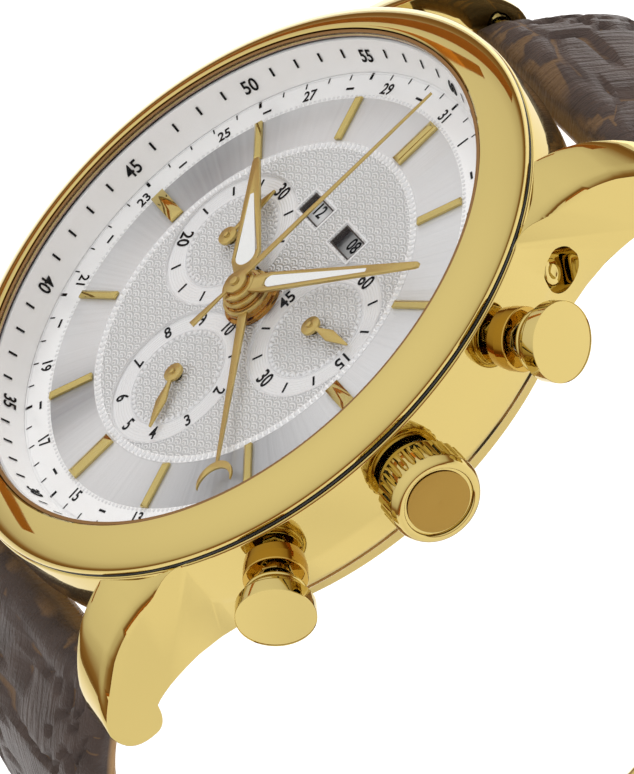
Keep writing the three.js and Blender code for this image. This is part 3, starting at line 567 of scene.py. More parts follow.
def refined(node, name, finish, width=0.05, segments=2, angle=30):  # a CAD node with softened edges
    pick(frame["nodes"][node])
    bpy.ops.object.duplicate()
    piece = bpy.context.object
    placed(piece, size=(1 / mm,) * 3)
    pick(piece)
    bpy.ops.object.mode_set(mode="EDIT")
    bpy.ops.mesh.select_all(action="SELECT")
    bpy.ops.mesh.remove_doubles(threshold=0.0005)
    bpy.ops.mesh.dissolve_limited(angle_limit=math.radians(1))
    bpy.ops.mesh.normals_make_consistent(inside=False)
    bpy.ops.object.mode_set(mode="OBJECT")
    softened(piece, width, 25, segments)
    return fitted(piece, name, finish, bodyOf(node), (node,), angle)


print("case")
bandSize = {
    "bore": 17.5, "seatRadius": 18.5, "bottom": 2.9, "top": 9.15, "low": 20.3, "wide": 21.0, "backSeat": 19.45,
}
dialSeat = boxOf("dial")[0].z - 0.05
lugSize = {
    "gap": 22, "width": 3, "reach": 24.05, "foot": -0.15, "columns": 12, "flare": 2.3, "drop": 1.2, "edgeDrop": 0.75,
    "lift": 0.4, "rootInside": 4.9,
}
boreRadius = {"start_pusher": 1.3, "reset_pusher": 1.3, "crown": 2.2, "corrector_button": 0.95}
correctorMouth = {"radius": 1.35, "floor": 20.15}


def caseBand():
    size = bandSize
    profile = rounded([
        (size["bore"], size["bottom"]), (size["low"] - 0.1, size["bottom"]), (size["low"] + 0.35, 3.6),
        (size["wide"], 5.4), (size["wide"], size["top"] - 0.05), (size["seatRadius"], size["top"]),
        (size["seatRadius"], dialSeat), (size["bore"], dialSeat),
    ], 0.22)
    return turned("band", profile, 200)


def curve(start, bend, end, steps=10):
    points = []
    for step in range(1, steps + 1):
        share = step / steps
        points.append(mix(mix(Vector(start), Vector(bend), share), mix(Vector(bend), Vector(end), share), share))
    return points


def lugBlank():  # the lug at 12 o'clock on the crown's side: a side view given its width, then swept
    size = lugSize
    band = bandSize
    reach, foot, top = size["reach"], size["foot"], band["top"] - 0.05
    root = band["bore"] - size["rootInside"]
    side = [Vector((root, band["bottom"] + 0.1))]
    for bend, end in (  # under the lug, round its tip and back along its top
        ((reach - 5, band["bottom"] - 0.5), (reach - 3.35, foot + 1.5)),
        ((reach - 3, foot), (reach - 2.1, foot)),
        ((reach + 0.1, foot), (reach, foot + 2.3)),
        ((reach - 0.5, top - 4.05), (reach - 3.4, top - 1.55)),
        ((reach - 5.2, top - 0.25), (reach - 7, top)),
    ):
        side += curve(side[-1], bend, end)
    side += [mix(side[-1], Vector((root, top)), step / 12) for step in range(1, 13)]
    piece = drawn("lug", [(0, point.x, point.y) for point in side], filled=True)
    for _ in range(size["columns"]):
        bpy.ops.mesh.extrude_region_move(TRANSFORM_OT_translate={"value": (1 / size["columns"], 0, 0)})
    closeUp()
    middle = (top + band["bottom"]) / 2
    inner = size["gap"] / 2

    def sweep(point):
        share, y, z = point
        flank = inner + size["width"] + size["flare"] * math.exp((13 - y) / 3)
        eased = share ** 0.8
        drop = size["drop"] * share ** 1.2 + size["edgeDrop"] * smooth(share, 0.7, 1) ** 2
        lift = size["lift"] * smooth(share, 0.8, 1) ** 2 + 0.1 * (1 - smooth(share, 0, 0.08))
        away = smooth(y, 14, 18)
        upper = smooth(z, middle - 5, middle + 1)
        inset = 0.25 * smooth(share, 0.9, 1) * away
        return Vector((mix(inner, flank, eased) - inset, y - inset * smooth(y, 21, 23.5) * 2,
                       z - drop * away * upper + lift * away * (1 - upper)))

    reshaped(piece, sweep)
    return piece


def barHoles(lugs):
    holeTool = turned("hole", [(0, -13), (0.5, -13), (0.5, 13), (0, 13)], 24, closed=False)
    low, high = boxOf("spring_bar_12")
    for end in (1, -1):
        place = (0, end * (low.y + high.y) / 2, (low.z + high.z) / 2)
        hole = copied(holeTool, "hole", place, (0, math.pi / 2, 0))
        for lug in lugs:
            if (lug.bound_box[0][1] > 0) == (end > 0):
                carved(lug, copied(hole, "tool"))
        bpy.data.objects.remove(hole)
    bpy.data.objects.remove(holeTool)


def caseInside():  # what is cut from the lugs' roots: the back's seat, the bore and the flange's seat
    size = bandSize
    shelf = size["bottom"] + 0.3
    return turned("core", [
        (0, -3), (size["backSeat"], -3), (size["backSeat"], shelf), (size["bore"], shelf), (size["bore"], dialSeat),
        (size["seatRadius"], dialSeat), (size["seatRadius"], 12), (0, 12)], 160)


def controlBore(node):
    radius = boreRadius[node]
    low, high = boxOf(node)
    middle = (low + high) / 2
    angle = math.atan2(middle.y, middle.x) if node != "crown" else 0
    mouth = [(radius, 24)]
    if node == "corrector_button":
        step = correctorMouth
        mouth = [(radius, step["floor"]), (step["radius"], step["floor"]), (step["radius"], 24)]
    tool = turned("bore", [(0, 15), (radius, 15), *mouth, (0, 24)], 40, closed=False)
    placed(tool, turn=(0, math.pi / 2, 0))
    return placed(tool, (0, 0, middle.z), (0, 0, angle))


def caseWhole():
    whole = caseBand()
    first = lugBlank()
    lugs = [first]
    for mirror in ((-1, 1, 1), (1, -1, 1), (-1, -1, 1)):
        lugs.append(facingOut(copied(first, "lug", size=mirror)))
    barHoles(lugs)
    core = caseInside()
    for lug in lugs:
        softened(lug, 0.12, 40, 3)
        carved(lug, copied(core, "core"))
        carved(whole, lug, "UNION")
    bpy.data.objects.remove(core)
    for node in boreRadius:
        carved(whole, controlBore(node))
    return whole


fitted(caseWhole(), "polished_case", gold, caseBody, ("case_body",), 26)


bezelSize = {"inner": 18.4, "foot": 0.08, "steps": 18, "round": 1.3}


def bezelRing():
    size = bezelSize
    low, high = boxOf("bezel")
    outer = high.x
    base = low.z + size["foot"]
    profile = [(size["inner"], base), (outer - 0.14, base), (outer, base + 0.12)]
    for step in range(size["steps"] + 1):
        angle = step / size["steps"] * math.pi / 2
        across = mix(size["inner"] + 0.1, outer, math.cos(angle) ** size["round"])
        profile.append((across, mix(base + 0.22, high.z, math.sin(angle) ** size["round"])))
    profile.append((size["inner"], high.z - 0.08))
    return turned("bezel", profile, 240)


fitted(bezelRing(), "polished_bezel", gold, caseBody, ("bezel",), 40)


def bezelSeam():  # a painted shadow: a dark ring in the gap where the bezel sits on the band
    low, high = boxOf("bezel")
    inner, outer = high.x - 0.5, high.x - 0.03
    foot, top = low.z - 0.05, low.z + 0.06
    return turned("seam", [(inner, foot), (outer, foot), (outer, top), (inner, top)], 200)


# a dark ring standing in for the shadow in the bezel's seam
fitted(bezelSeam(), "bezel_seam_shadow", rubber, caseBody)


crystalSize = {"rim": 0.7, "steps": 24, "chamfer": 0.14}


def crystalDisc():
    size = crystalSize
    low, high = boxOf("crystal")
    edge = high.x
    rim = low.z + size["rim"]
    profile = [(0, low.z), (edge - 0.05, low.z), (edge, low.z + 0.05), (edge, rim - 0.12), (edge - 0.05, rim - 0.04)]
    for step in range(size["steps"] + 1):
        share = 1 - step / size["steps"]
        profile.append(((edge - size["chamfer"]) * share, rim + (high.z - rim) * (1 - share * share)))
    return turned("crystal", profile, 160, closed=False)


fitted(crystalDisc(), "clear_crystal", glass, caseBody, ("crystal",), 35)


def ringOf(node, inner, rounding=0.05, steps=200):
    low, high = boxOf(node)
    corners = [(inner, low.z), (high.x, low.z), (high.x, high.z), (inner, high.z)]
    return turned(node, rounded(corners, rounding, 3), steps)


# the seal ring carries painted reflection and shadow
fitted(ringOf("crystal_gasket", 18.1), "crystal_seal_painted_reflection", sealPaintedReflection, caseBody, ("crystal_gasket",))
fitted(ringOf("case_back_gasket", boxOf("case_back_gasket")[1].x - 0.6), "case_back_seal", rubber, caseBody,
       ("case_back_gasket",))


backSize = {"foot": 15, "inside": 16.2, "lip": 17.0, "top": 2.85, "floor": 1.3}


def caseBackCup():
    size = backSize
    edge = boxOf("case_back")[1].x
    rim = boxOf("case_back")[1].z
    foot, lip, top = size["foot"], size["lip"], size["top"]
    outside = rounded([(foot, 0), (foot + 0.6, 0.22), (edge - 1.4, 1.0), (edge, 1.7)], 0.4, 4)[2:-2]
    inside = [(size["inside"], size["floor"] + 0.2), (14.5, size["floor"]), (0, size["floor"])]
    collar = [(lip, rim), (size["inside"], rim)] if rim > 3 else []
    return turned("case_back", [(0, 0)] + outside + [(edge, top), (lip, top)] + collar + inside, 200, closed=False)


fitted(caseBackCup(), "turned_case_back", backGold, caseBody, ("case_back",), 28)

print("dial")
dialSize = {
    "face": 8.0, "thickness": 0.4, "radius": 18.2, "hole": 1.35, "flangeFoot": 17.15, "flangeTop": 10.25,
    "flangeLean": 0.8, "flangeOuter": 18.3, "counter": 4.9, "counterDepth": 0.12, "windowAcross": 2.35,
    "windowUp": 6.5, "windowWide": 2.7, "windowHigh": 1.5,
}


def dialPlate():
    size = dialSize
    face = size["face"]
    back = face - size["thickness"]
    plate = turned("dial", rounded([(size["hole"], back), (size["radius"], back), (size["radius"], face),
                                    (size["hole"], face)], 0.04, 2), 200)
    sunk = face - size["counterDepth"]
    for cx, cy in counterCentres:
        sink = turned("sink", [(0, sunk), (size["counter"] - 0.03, sunk), (size["counter"] + 0.03, face + 1),
                               (0, face + 1)], 96, closed=False)
        carved(plate, placed(sink, (cx, cy, 0)))
        bore = turned("bore", [(0, 5), (0.35, 5), (0.35, 9), (0, 9)], 24, closed=False)
        carved(plate, placed(bore, (cx, cy, 0)))
    for side in (-1, 1):
        middle = (side * size["windowAcross"], size["windowUp"])
        carved(plate, raised("window", rectangle(*middle, size["windowWide"] / 2, size["windowHigh"] / 2), 6, 9))
    return plate


fitted(dialPlate(), "silver_dial", dialSilver, caseBody, ("dial",), 20)


def windowRims(name, outside, inside, low, high, edge):  # a rectangular rim at each window
    size = dialSize
    rims = []
    for side in (-1, 1):
        middle = (side * size["windowAcross"], size["windowUp"])
        wide, tall = size["windowWide"] / 2, size["windowHigh"] / 2
        rim = raised(name, rectangle(*middle, wide + outside, tall + outside), low, high)
        hole = raised("hole", rectangle(*middle, wide + inside, tall + inside), 7, 9)
        rims.append(softened(carved(rim, hole), edge))
    return joined(name, rims)


dialFace = dialSize["face"]
# painted shade: dark brown walls inside the date windows stand in for the shade there
wellShade = plainFinish("window_painted_shade", (0.045, 0.033, 0.028), 0.4, 0.0, 6.0, 0.003)
frames = windowRims("frames", 0.24, 0.1, dialFace - 0.02, dialFace + 0.05, 0.02)
fitted(frames, "window_frames", pearl, caseBody)
wells = windowRims("wells", -0.01, -0.11, 7.5, dialFace - 0.03, 0.03)
fitted(wells, "window_wells_shade", wellShade, caseBody)


def flangeSlope():
    size = dialSize
    face, top = size["face"] + 0.02, size["flangeTop"]
    foot = size["flangeFoot"]
    profile = rounded([(foot, face), (size["flangeOuter"], face), (size["flangeOuter"], top),
                       (foot + size["flangeLean"], top)], 0.05, 3)
    return turned("flange", profile, 200)


fitted(flangeSlope(), "silver_flange", flangeWhite, caseBody, ("flange_ring",), 20)


def beadRing(name, centre, radius, count, long, wide, high, level):
    clear()
    bpy.ops.mesh.primitive_ico_sphere_add(subdivisions=2, radius=1)
    bead = bpy.context.object
    bpy.ops.object.mode_set(mode="EDIT")
    bpy.ops.mesh.select_all(action="SELECT")
    bpy.ops.mesh.bisect(plane_co=(0, 0, -0.2), plane_no=(0, 0, 1), clear_inner=True, use_fill=True)
    closeUp()
    placed(bead, (0, radius, level), size=(wide, long, high))
    return placed(around(bead, count), (*centre, 0))


def dialBeads():
    face = dialSize["face"]
    rings = [
        beadRing("rope", (0, 0), 11.64, 164, 0.24, 0.19, 0.13, face - 0.02),
        beadRing("track", (0, 0), 15.34, 260, 0.12, 0.12, 0.07, face - 0.01),
    ]
    sunk = face - dialSize["counterDepth"]
    for centre in counterCentres:
        rings.append(beadRing("counter", centre, 3.28, 46, 0.19, 0.17, 0.12, sunk - 0.02))
    return joined("beads", rings)


fitted(dialBeads(), "bead_rings", pearl, caseBody, angle=60)


def fineRings():
    face = dialSize["face"]
    circles = [((0, 0), 11.9, face, 0.03), ((0, 0), 17.0, face, 0.015)]
    for centre in counterCentres:
        circles.append((centre, 4.97, face, 0.03))
        circles.append((centre, 3.5, face - dialSize["counterDepth"], 0.03))
    rings = []
    for centre, radius, level, wide in circles:
        profile = [(radius - wide, level - 0.02), (radius + wide, level - 0.02),
                   (radius + wide * 0.5, level + 0.035), (radius - wide * 0.5, level + 0.035)]
        rings.append(placed(turned("ring", profile, 96), (*centre, 0)))
    return joined("rings", rings)


fitted(fineRings(), "raised_rings", pearl, caseBody, angle=60)


def clock(degrees, radius):  # degrees clockwise from 12
    angle = math.radians(degrees)
    return radius * math.sin(angle), radius * math.cos(angle)


def numeral(text, size, place, degrees, lean=0.0, narrow=0.8):
    clear()
    bpy.ops.object.text_add()
    letters = bpy.context.object.data
    letters.body = text
    letters.align_x = "CENTER"
    letters.align_y = "CENTER"
    letters.extrude = 0.012
    letters.offset = 0.014
    letters.resolution_u = 3
    bpy.ops.object.convert(target="MESH")
    piece = placed(bpy.context.object, size=(size * narrow, size, size))
    flipped = 100 < degrees % 360 < 260
    placed(piece, turn=(0, 0, math.pi if flipped else 0))
    placed(piece, turn=(lean, 0, 0))
    return placed(piece, place, (0, 0, -math.radians(degrees)))


def markAt(long, wide, place, degrees, lean=0.0, thick=0.02):  # a printed dash, long along the radius
    mark = raised("mark", rectangle(0, 0, wide / 2, long / 2), -thick / 2, thick / 2)
    placed(mark, turn=(lean, 0, 0))
    return placed(mark, place, (0, 0, -math.radians(degrees)))


def onSlope(share):  # radius and height a share of the way up the flange
    size = dialSize
    radius = size["flangeFoot"] + size["flangeLean"] * share - 0.05
    return radius, mix(size["face"], size["flangeTop"], share) + 0.015


def flangeMarks():
    size = dialSize
    lean = math.atan2(size["flangeTop"] - size["face"], size["flangeLean"])
    radius, level = onSlope(0.62)
    ticks = []
    for minute in range(1, 5):
        ticks.append(markAt(0.62, 0.15, (*clock(minute * 6, radius), level), minute * 6, lean))
    marks = [around(joined("ticks", ticks), 12)]
    radius, level = onSlope(0.5)
    for minute in range(5, 61, 5):
        place = (*clock(minute * 6, radius), level)
        marks.append(numeral(str(minute), 1.28, place, minute * 6, lean, 0.86))
    return joined("marks", marks)


printSize = {"minutes": 16.84, "days": 15.95, "counters": 4.2, "above": 0.012}
counterLabels = [  # by degrees clockwise from 12, for the minute counter and the small seconds
    {0: "30", 120: "10", 240: "20"},
    {0: "60", 90: "15", 180: "30", 270: "45"},
]


def dialMarks():
    size = printSize
    level = dialSize["face"] + size["above"]
    first = (0, size["minutes"], level)
    marks = [around(markAt(0.42, 0.09, first, 0), 60), around(markAt(0.5, 0.2, first, 0), 12)]
    for day in range(1, 32):
        degrees = day * (360 / 31)
        place = (*clock(degrees, size["days"]), level)
        if day % 2:
            marks.append(numeral(str(day), 1.14, place, degrees, narrow=0.85))
        else:
            marks.append(markAt(0.16, 0.62, place, degrees))
    sunk = dialSize["face"] - dialSize["counterDepth"] + size["above"]
    for centre, labels in zip(counterCentres, counterLabels):
        for turn in range(0, 360, 30):
            x, y = clock(turn, size["counters"])
            place = (centre[0] + x, centre[1] + y, sunk)
            if turn in labels:
                marks.append(numeral(labels[turn], 1.45, place, turn))
            else:
                marks.append(markAt(0.72, 0.14, place, turn))
    hours = counterCentres[2]
    for hour in range(1, 11):
        x, y = clock(hour * 36, size["counters"])
        marks.append(numeral(str(hour), 1.3, (hours[0] + x, hours[1] + y, sunk), hour * 36))
    return joined("marks", marks)


fitted(flangeMarks(), "flange_scale", ink, caseBody, angle=20)
fitted(dialMarks(), "dial_scale", ink, caseBody, angle=20)


def calendarDisc(node, label):
    low, high = boxOf(node)
    middle = (low + high) / 2
    radius = (high.x - low.x) / 2
    disc = turned(node, rounded([(0.6, low.z), (radius, low.z), (radius, high.z), (0.6, high.z)], 0.03, 2), 96)
    fitted(placed(disc, (middle.x, middle.y, 0)), node + "_plate", discWhite, bodyOf(node), (node,))
    x = math.copysign(dialSize["windowAcross"], middle.x)
    text = numeral(label, 1.3, (x - 0.42, dialSize["windowUp"] + 0.08, high.z + 0.012), 0)
    fitted(text, node + "_numeral", ink, bodyOf(node), angle=20)


calendarDisc("day_disc", "12")
calendarDisc("month_disc", "08")

print("hands")
for node in ("hour_hand", "minute_hand", "chrono_seconds_hand", "date_hand", "small_seconds_hand",
             "minute_counter_hand", "hour_counter_hand"):
    refined(node, node + "_gilt", handGold, 0.025, 2, 30)

handFill = {  # clockwise from 12, half width, and where the filling starts and ends
    "hour": (304, 0.72, 2.0, 7.8), "minute": (52.5, 0.42, 2.2, 10.2),
}


def infill(hand):  # white filling in a hand's slot
    node = hand + "_hand"
    degrees, width, start, end = handFill[hand]
    outline = []
    for step in range(13):
        angle = math.pi * step / 12
        outline.append((width * math.cos(angle) * -1, start + width - width * math.sin(angle)))
    outline += [(0.13, end), (-0.13, end)]
    level = boxOf(node)[1].z - 0.035
    piece = raised(node + "_fill", outline, level - 0.1, level)
    placed(piece, turn=(0, 0, -math.radians(degrees)))
    fitted(piece, node + "_fill", infillWhite, bodyOf(node))


for hand in handFill:
    infill(hand)

hubRings = {  # under each hand: outer radius, foot and top
    "date_hand": (1.95, 8.03, 8.68), "hour_hand": (1.5, 8.92, 9.08), "minute_hand": (1.22, 9.32, 9.48),
    "chrono_seconds_hand": (0.92, 9.64, 9.86),
}


def hubRing(node, radius, foot, top):  # a stepped collar
    middle = (foot + top) / 2
    profile = rounded([(0.75, foot), (radius, foot), (radius, middle), (radius * 0.88, middle + 0.02),
                       (radius * 0.88, top), (0.75, top)], 0.05, 2)
    fitted(turned(node, profile, 96), node + "_collar", shadedAmberGold, bodyOf(node))


for node, (radius, foot, top) in hubRings.items():
    hubRing(node, radius, foot, top)


def hubPin(name, node, centre, radius):
    level = boxOf(node)[1].z - 0.02
    corners = [(0, level), (radius, level), (radius, level + 0.12), (0, level + 0.14)]
    pin = turned(name, rounded(corners, 0.04, 2), 32, closed=False)
    fitted(placed(pin, (*centre, 0)), name, handGold, bodyOf(node))


for node, centre in zip(counterHands, counterCentres):
    hubPin(node + "_pin", node, centre, 0.2)
hubPin("chrono_seconds_pin", "chrono_seconds_hand", (0, 0), 0.3)

for hour in range(1, 13):
    node = "index_%02d" % hour
    refined(node, "baton_%02d" % hour, gold, 0.02, 2, 25)

print("crown and pushers")


def outwards(piece, height, degrees=0.0):
    placed(piece, turn=(0, math.pi / 2, 0))
    return placed(piece, (0, 0, height), (0, 0, math.radians(degrees)))


crownSize = {
    "radius": 2.85, "back": 22.05, "face": 24.85, "collar": 2.35, "collarBack": 21.35, "sunk": 0.14,
    "flutes": 32, "flute": 0.235, "disc": 2.0, "height": 6,
}


def crownKnob():
    size = crownSize
    radius, face, back = size["radius"], size["face"], size["back"]
    outline = rounded([
        (size["collar"], size["collarBack"]), (size["collar"], back), (radius - 0.25, back), (radius, back + 0.3),
        (radius, face - 0.55), (radius - 0.2, face - 0.12), (radius - 0.38, face), (radius - 0.6, face),
        (radius - 0.68, face - size["sunk"])], 0.09, 3)
    profile = [(0, size["collarBack"])] + outline + [(0, face - size["sunk"])]
    knob = turned("crown", profile, 144, closed=False)
    wide = size["flute"]
    flute = turned("flute", [(0, back - 0.2), (wide, back - 0.2), (wide, face - 1.2), (0.15, face - 0.7),
                             (0, face - 0.55)], 10, closed=False)
    placed(flute, (0, radius + 0.05, 0))
    return carved(knob, around(flute, size["flutes"]))


def crownDisc():  # a plain matte disc let into the crown's face
    face, radius = crownSize["face"], crownSize["disc"]
    corners = [(0, face - 0.16), (radius, face - 0.16), (radius, face - 0.09), (0, face - 0.07)]
    return turned("disc", rounded(corners, 0.05, 3), 72, closed=False)


knob = outwards(crownKnob(), crownSize["height"])
fitted(knob, "fluted_crown", gold, bodyOf("crown"), ("crown",), 28)
fitted(outwards(crownDisc(), crownSize["height"]), "crown_disc", shadedDiscGold, bodyOf("crown"))

pusherSize = {
    "cap": 2.43, "thick": 1.1, "face": 24.85, "step": 2.08, "groove": 1.6, "ring": 1.9, "shaft": 0.6, "waist": 22.75,
    "inner": 17.5, "height": 6, "degrees": 28, "collar": 1.95, "collarBore": 1.05, "collarBack": 20.3,
    "collarFace": 21.75,
}


def pusherButton():
    size = pusherSize
    face = size["face"]
    back = face - size["thick"]
    outline = rounded([
        (size["cap"], face), (size["cap"], back), (size["step"], back), (size["step"], back - 0.5),
        (size["groove"], back - 0.56), (size["groove"], back - 0.72), (size["ring"], back - 0.78),
        (size["ring"], size["waist"])], 0.14, 4)
    shaft = [(size["shaft"], size["waist"]), (size["shaft"], size["inner"]), (0, size["inner"])]
    return turned("pusher", [(0, face)] + outline + shaft, 96, closed=False)


def pusherCollar():
    size = pusherSize
    bore, radius, back, face = size["collarBore"], size["collar"], size["collarBack"], size["collarFace"]
    return turned("collar", rounded([(bore, back), (radius, back), (radius, face), (bore, face)], 0.12, 4), 96)


button = pusherButton()
collar = pusherCollar()
for name, side in (("start", 1), ("reset", -1)):
    node = name + "_pusher"
    angle = side * pusherSize["degrees"]
    cap = outwards(copied(button, name), pusherSize["height"], angle)
    fitted(cap, name + "_button_cap", gold, bodyOf(node), (node,), 28)
    tube = outwards(copied(collar, name), pusherSize["height"], angle)
    fitted(tube, name + "_button_collar", shadedCollarGold, caseBody, (node + "_tube",), 28)
bpy.data.objects.remove(button)
bpy.data.objects.remove(collar)
refined("corrector_button", "corrector_head", gold, 0.05, 3)

print("strap")
loopSize = {
    "radius": 30, "barOut": 22.4, "barHeight": 2, "barAngle": 131.70, "wide": 21.4, "narrow": 18, "padded": 3.8,
    "thin": 2.9, "tailThin": 2.4, "nose": 1.85, "buckleEnd": 1.85, "tailEnd": 75, "buckleBar": 4, "buckleLong": 12,
    "gap": 0.3, "barBore": 0.85, "aroundSteps": 96, "stepLong": 0.36,
}
loopCentre = loopSize["barHeight"] - math.sqrt(loopSize["radius"] ** 2 - loopSize["barOut"] ** 2)


def arcOf(degrees):
    return math.radians(degrees) * loopSize["radius"]


def degreesOf(along):
    return math.degrees(along / loopSize["radius"])


def swell(along):
    return 0.9 * smooth(along, 0, 7) * (1 - smooth(along, 12, 27))


def widthAt(along):
    return mix(loopSize["wide"], loopSize["narrow"], smooth(along, 10, 60))


def thicknessAt(along, thin):
    nose = loopSize["nose"]
    fold = nose * 2 * math.sqrt(max(0.12, 1 - (min(along, 0) / nose) ** 2))
    return mix(fold, mix(loopSize["padded"], thin, smooth(along, 12, 40)), smooth(along, 0, 4))


buckleHalfLong = arcOf(loopSize["barAngle"] - loopSize["buckleBar"])
tailLong = arcOf(loopSize["barAngle"] + loopSize["tailEnd"])


def buckleHalfThickness(along):
    left = buckleHalfLong - along
    end = loopSize["buckleEnd"]
    fold = end * 2 * math.sqrt(max(0.12, 1 - (min(left, 0) / end) ** 2))
    return mix(fold, thicknessAt(along, loopSize["thin"]), smooth(left, 0, 5))


frontAngle = loopSize["buckleBar"] - degreesOf(loopSize["buckleLong"])


def tailOut(degrees):
    along = arcOf(loopSize["barAngle"] - max(degrees, loopSize["buckleBar"]))
    outside = buckleHalfThickness(along) / 2 + loopSize["gap"] + loopSize["tailThin"] / 2
    return outside * smooth(degrees, frontAngle + 1, loopSize["buckleBar"] - 1)


def section(share, width, thick):  # round the strap's section: crowned outside, flat lining inside
    turn = share * 2 * math.pi
    c, s = math.cos(turn), math.sin(turn)
    x = math.copysign(abs(c) ** 0.55, c) * width / 2
    n = math.copysign(abs(s) ** 0.8, s) * thick / 2
    return x, n


def scaleCrease(x, along):  # 0 on a scale, 1 in the crease between two
    large = 0.235 + 0.16 * smooth(abs(x), 5.5, 10)
    gaps, _ = noise.voronoi(Vector((x * large * 0.92 + 7.3, along * large + 3.1, 0.5)))
    return 1 - smooth(gaps[1] - gaps[0], 0.015, 0.17)


def strapHalf(name, long, angleAt, thickness, outAt, endExtra, seed):
    size = loopSize
    rows = int((long + size["nose"] + endExtra) / size["stepLong"])
    clear()
    bpy.ops.mesh.primitive_grid_add(x_subdivisions=size["aroundSteps"], y_subdivisions=rows, size=1)
    piece = bpy.context.object
    crease = []
    lining = []

    def wrap(point):
        share = point.x + 0.5
        along = mix(-size["nose"], long + endExtra, point.y + 0.5)
        thick = thickness(along)
        width = widthAt(along)
        if not endExtra:
            left = long - along
            width *= math.sqrt(max(0.04, 1 - (1 - min(left / 9, 1)) ** 2))
        x, n = section(share, width, thick)
        outer = smooth(n / thick, -0.02, 0.12)
        groove = scaleCrease(x, along + seed) * outer
        stitched = math.exp(-((n / thick + 0.06) / 0.05) ** 2) * (abs(x) > width / 2 - 1.2)
        edge = smooth(width / 2 - abs(x), 0.0, 1.2)
        depth = 0.36 * groove * edge * smooth(along, -1, 2) + 0.12 * stitched
        bulge = 0.10 * (1 - groove) * outer * edge
        ripple = 0.07 * noise.noise(Vector((x * 1.3, along * 0.22, seed))) * outer
        crease.append(min(groove * outer + 0.85 * (1 - smooth(along, -1.7, -0.6)) * outer, 1))
        lining.append(1 - smooth(n / thick, -0.16, -0.06))
        flat = abs(n) - depth
        if n > 0:
            flat += bulge + ripple
        r = size["radius"] + outAt(along)
        if abs(n) > 1e-6:
            r += math.copysign(max(flat, 0.05 * thick), n)
        angle = math.radians(angleAt(along))
        x -= math.copysign(depth * 0.5, x) * (1 - edge)
        return Vector((x, r * math.sin(angle), loopCentre - r * math.cos(angle)))

    reshaped(piece, wrap)
    for label, values in (("crease", crease), ("lining", lining)):
        piece.data.attributes.new(label, "FLOAT", "POINT").data.foreach_set("value", values)
    pick(piece)
    bpy.ops.object.mode_set(mode="EDIT")
    bpy.ops.mesh.select_all(action="SELECT")
    bpy.ops.mesh.remove_doubles(threshold=0.002)
    bpy.ops.mesh.select_all(action="DESELECT")
    bpy.ops.mesh.select_mode(type="EDGE")
    bpy.ops.mesh.select_non_manifold(extend=False)
    bpy.ops.mesh.fill()
    bpy.ops.mesh.select_mode(type="VERT")
    bpy.ops.mesh.select_all(action="SELECT")
    bpy.ops.mesh.normals_make_consistent(inside=False)
    bpy.ops.object.mode_set(mode="OBJECT")
    return piece


def loopTool(piece, degrees):  # a cutter made at the strap's inside, carried round to its place
    return placed(piece, (0, 0, loopCentre), (math.pi + math.radians(degrees), 0, 0))


def barTool(degrees, radius):
    tool = turned("bore", [(0, -20), (radius, -20), (radius, 20), (0, 20)], 32, closed=False)
    angle = math.radians(degrees)
    r = loopSize["radius"]
    return placed(tool, (0, r * math.sin(angle), loopCentre - r * math.cos(angle)), (0, math.pi / 2, 0))


def buckleHalfAngle(along):
    return loopSize["barAngle"] - degreesOf(along)


def tailAngle(along):
    return degreesOf(along) - loopSize["barAngle"]


def tailThickness(along):
    return thicknessAt(along, loopSize["tailThin"])


def tailHeight(along):
    return swell(along) + tailOut(tailAngle(along))


buckleHalf = strapHalf("buckle_half", buckleHalfLong, buckleHalfAngle, buckleHalfThickness, swell,
                       loopSize["buckleEnd"], 0)
for degrees in (loopSize["barAngle"], loopSize["buckleBar"]):
    carved(buckleHalf, barTool(degrees, loopSize["barBore"]), solver="FAST")
bottomZ = loopCentre - loopSize["radius"]
notchTop = arcOf(4) + 2.45
notch = raised("notch", [(-1.4, -6), (1.4, -6), (1.4, notchTop), (-1.4, notchTop)], bottomZ - 5, bottomZ + 6)
carved(buckleHalf, notch, solver="FAST")
tailHalf = strapHalf("tail_half", tailLong, tailAngle, tailThickness, tailHeight, 0, 41)
carved(tailHalf, barTool(-loopSize["barAngle"], loopSize["barBore"]), solver="FAST")
slotMiddle = loopSize["buckleBar"] - degreesOf(loopSize["buckleLong"] * 0.42)
slotTool = raised("slot", rounded(rectangle(0, 0, 1.35, 4.1), 0.6), 26, 38)
carved(tailHalf, loopTool(slotTool, slotMiddle), solver="FAST")
for index in range(1, 5):
    punch = turned("punch", [(0, 26), (0.8, 26), (0.8, 38), (0, 38)], 24, closed=False)
    carved(tailHalf, loopTool(punch, slotMiddle + degreesOf(6.5 * index + 2)), solver="FAST")
fitted(buckleHalf, "leather_buckle_half", leather, caseBody, ("strap_buckle_half",), 50)
fitted(tailHalf, "leather_tail_half", leather, caseBody, ("strap_tail_half",), 50)
keeperLeather = plainFinish("keeper_leather", (0.05, 0.042, 0.038), 0.45, 0.0, 2.2, 0.05)
refined("keeper_fixed", "leather_keeper_fixed", keeperLeather, 0.25, 3)
refined("keeper_free", "leather_keeper_free", keeperLeather, 0.25, 3)
refined("buckle_frame", "polished_buckle", gold, 0.2, 3)
refined("buckle_tongue", "polished_tongue", gold, 0.12, 3)
print("strap done")

print("pieces that keep their CAD shape")
keptFinish = {
    "steel": brightSteel, "brass": brass, "plastic": mouldedPlastic, "circuit": circuitGreen, "rubber": rubber,
    "gold": gold, "hands": handGold,
}
underHands = ("cannon_pinion", "hour_wheel", "date_wheel")
for part in frame["record"]["subparts"]:
    node, slot = part["node"], part["material_slot"]
    piece = frame["nodes"][node]
    if slot in keptFinish and not piece.hide_render:
        # the wheels under the hands take the gold's painted-shade copy
        finish = shadedAmberGold if node in underHands else keptFinish[slot]
        piece.data.materials.clear()
        piece.data.materials.append(finish.material)


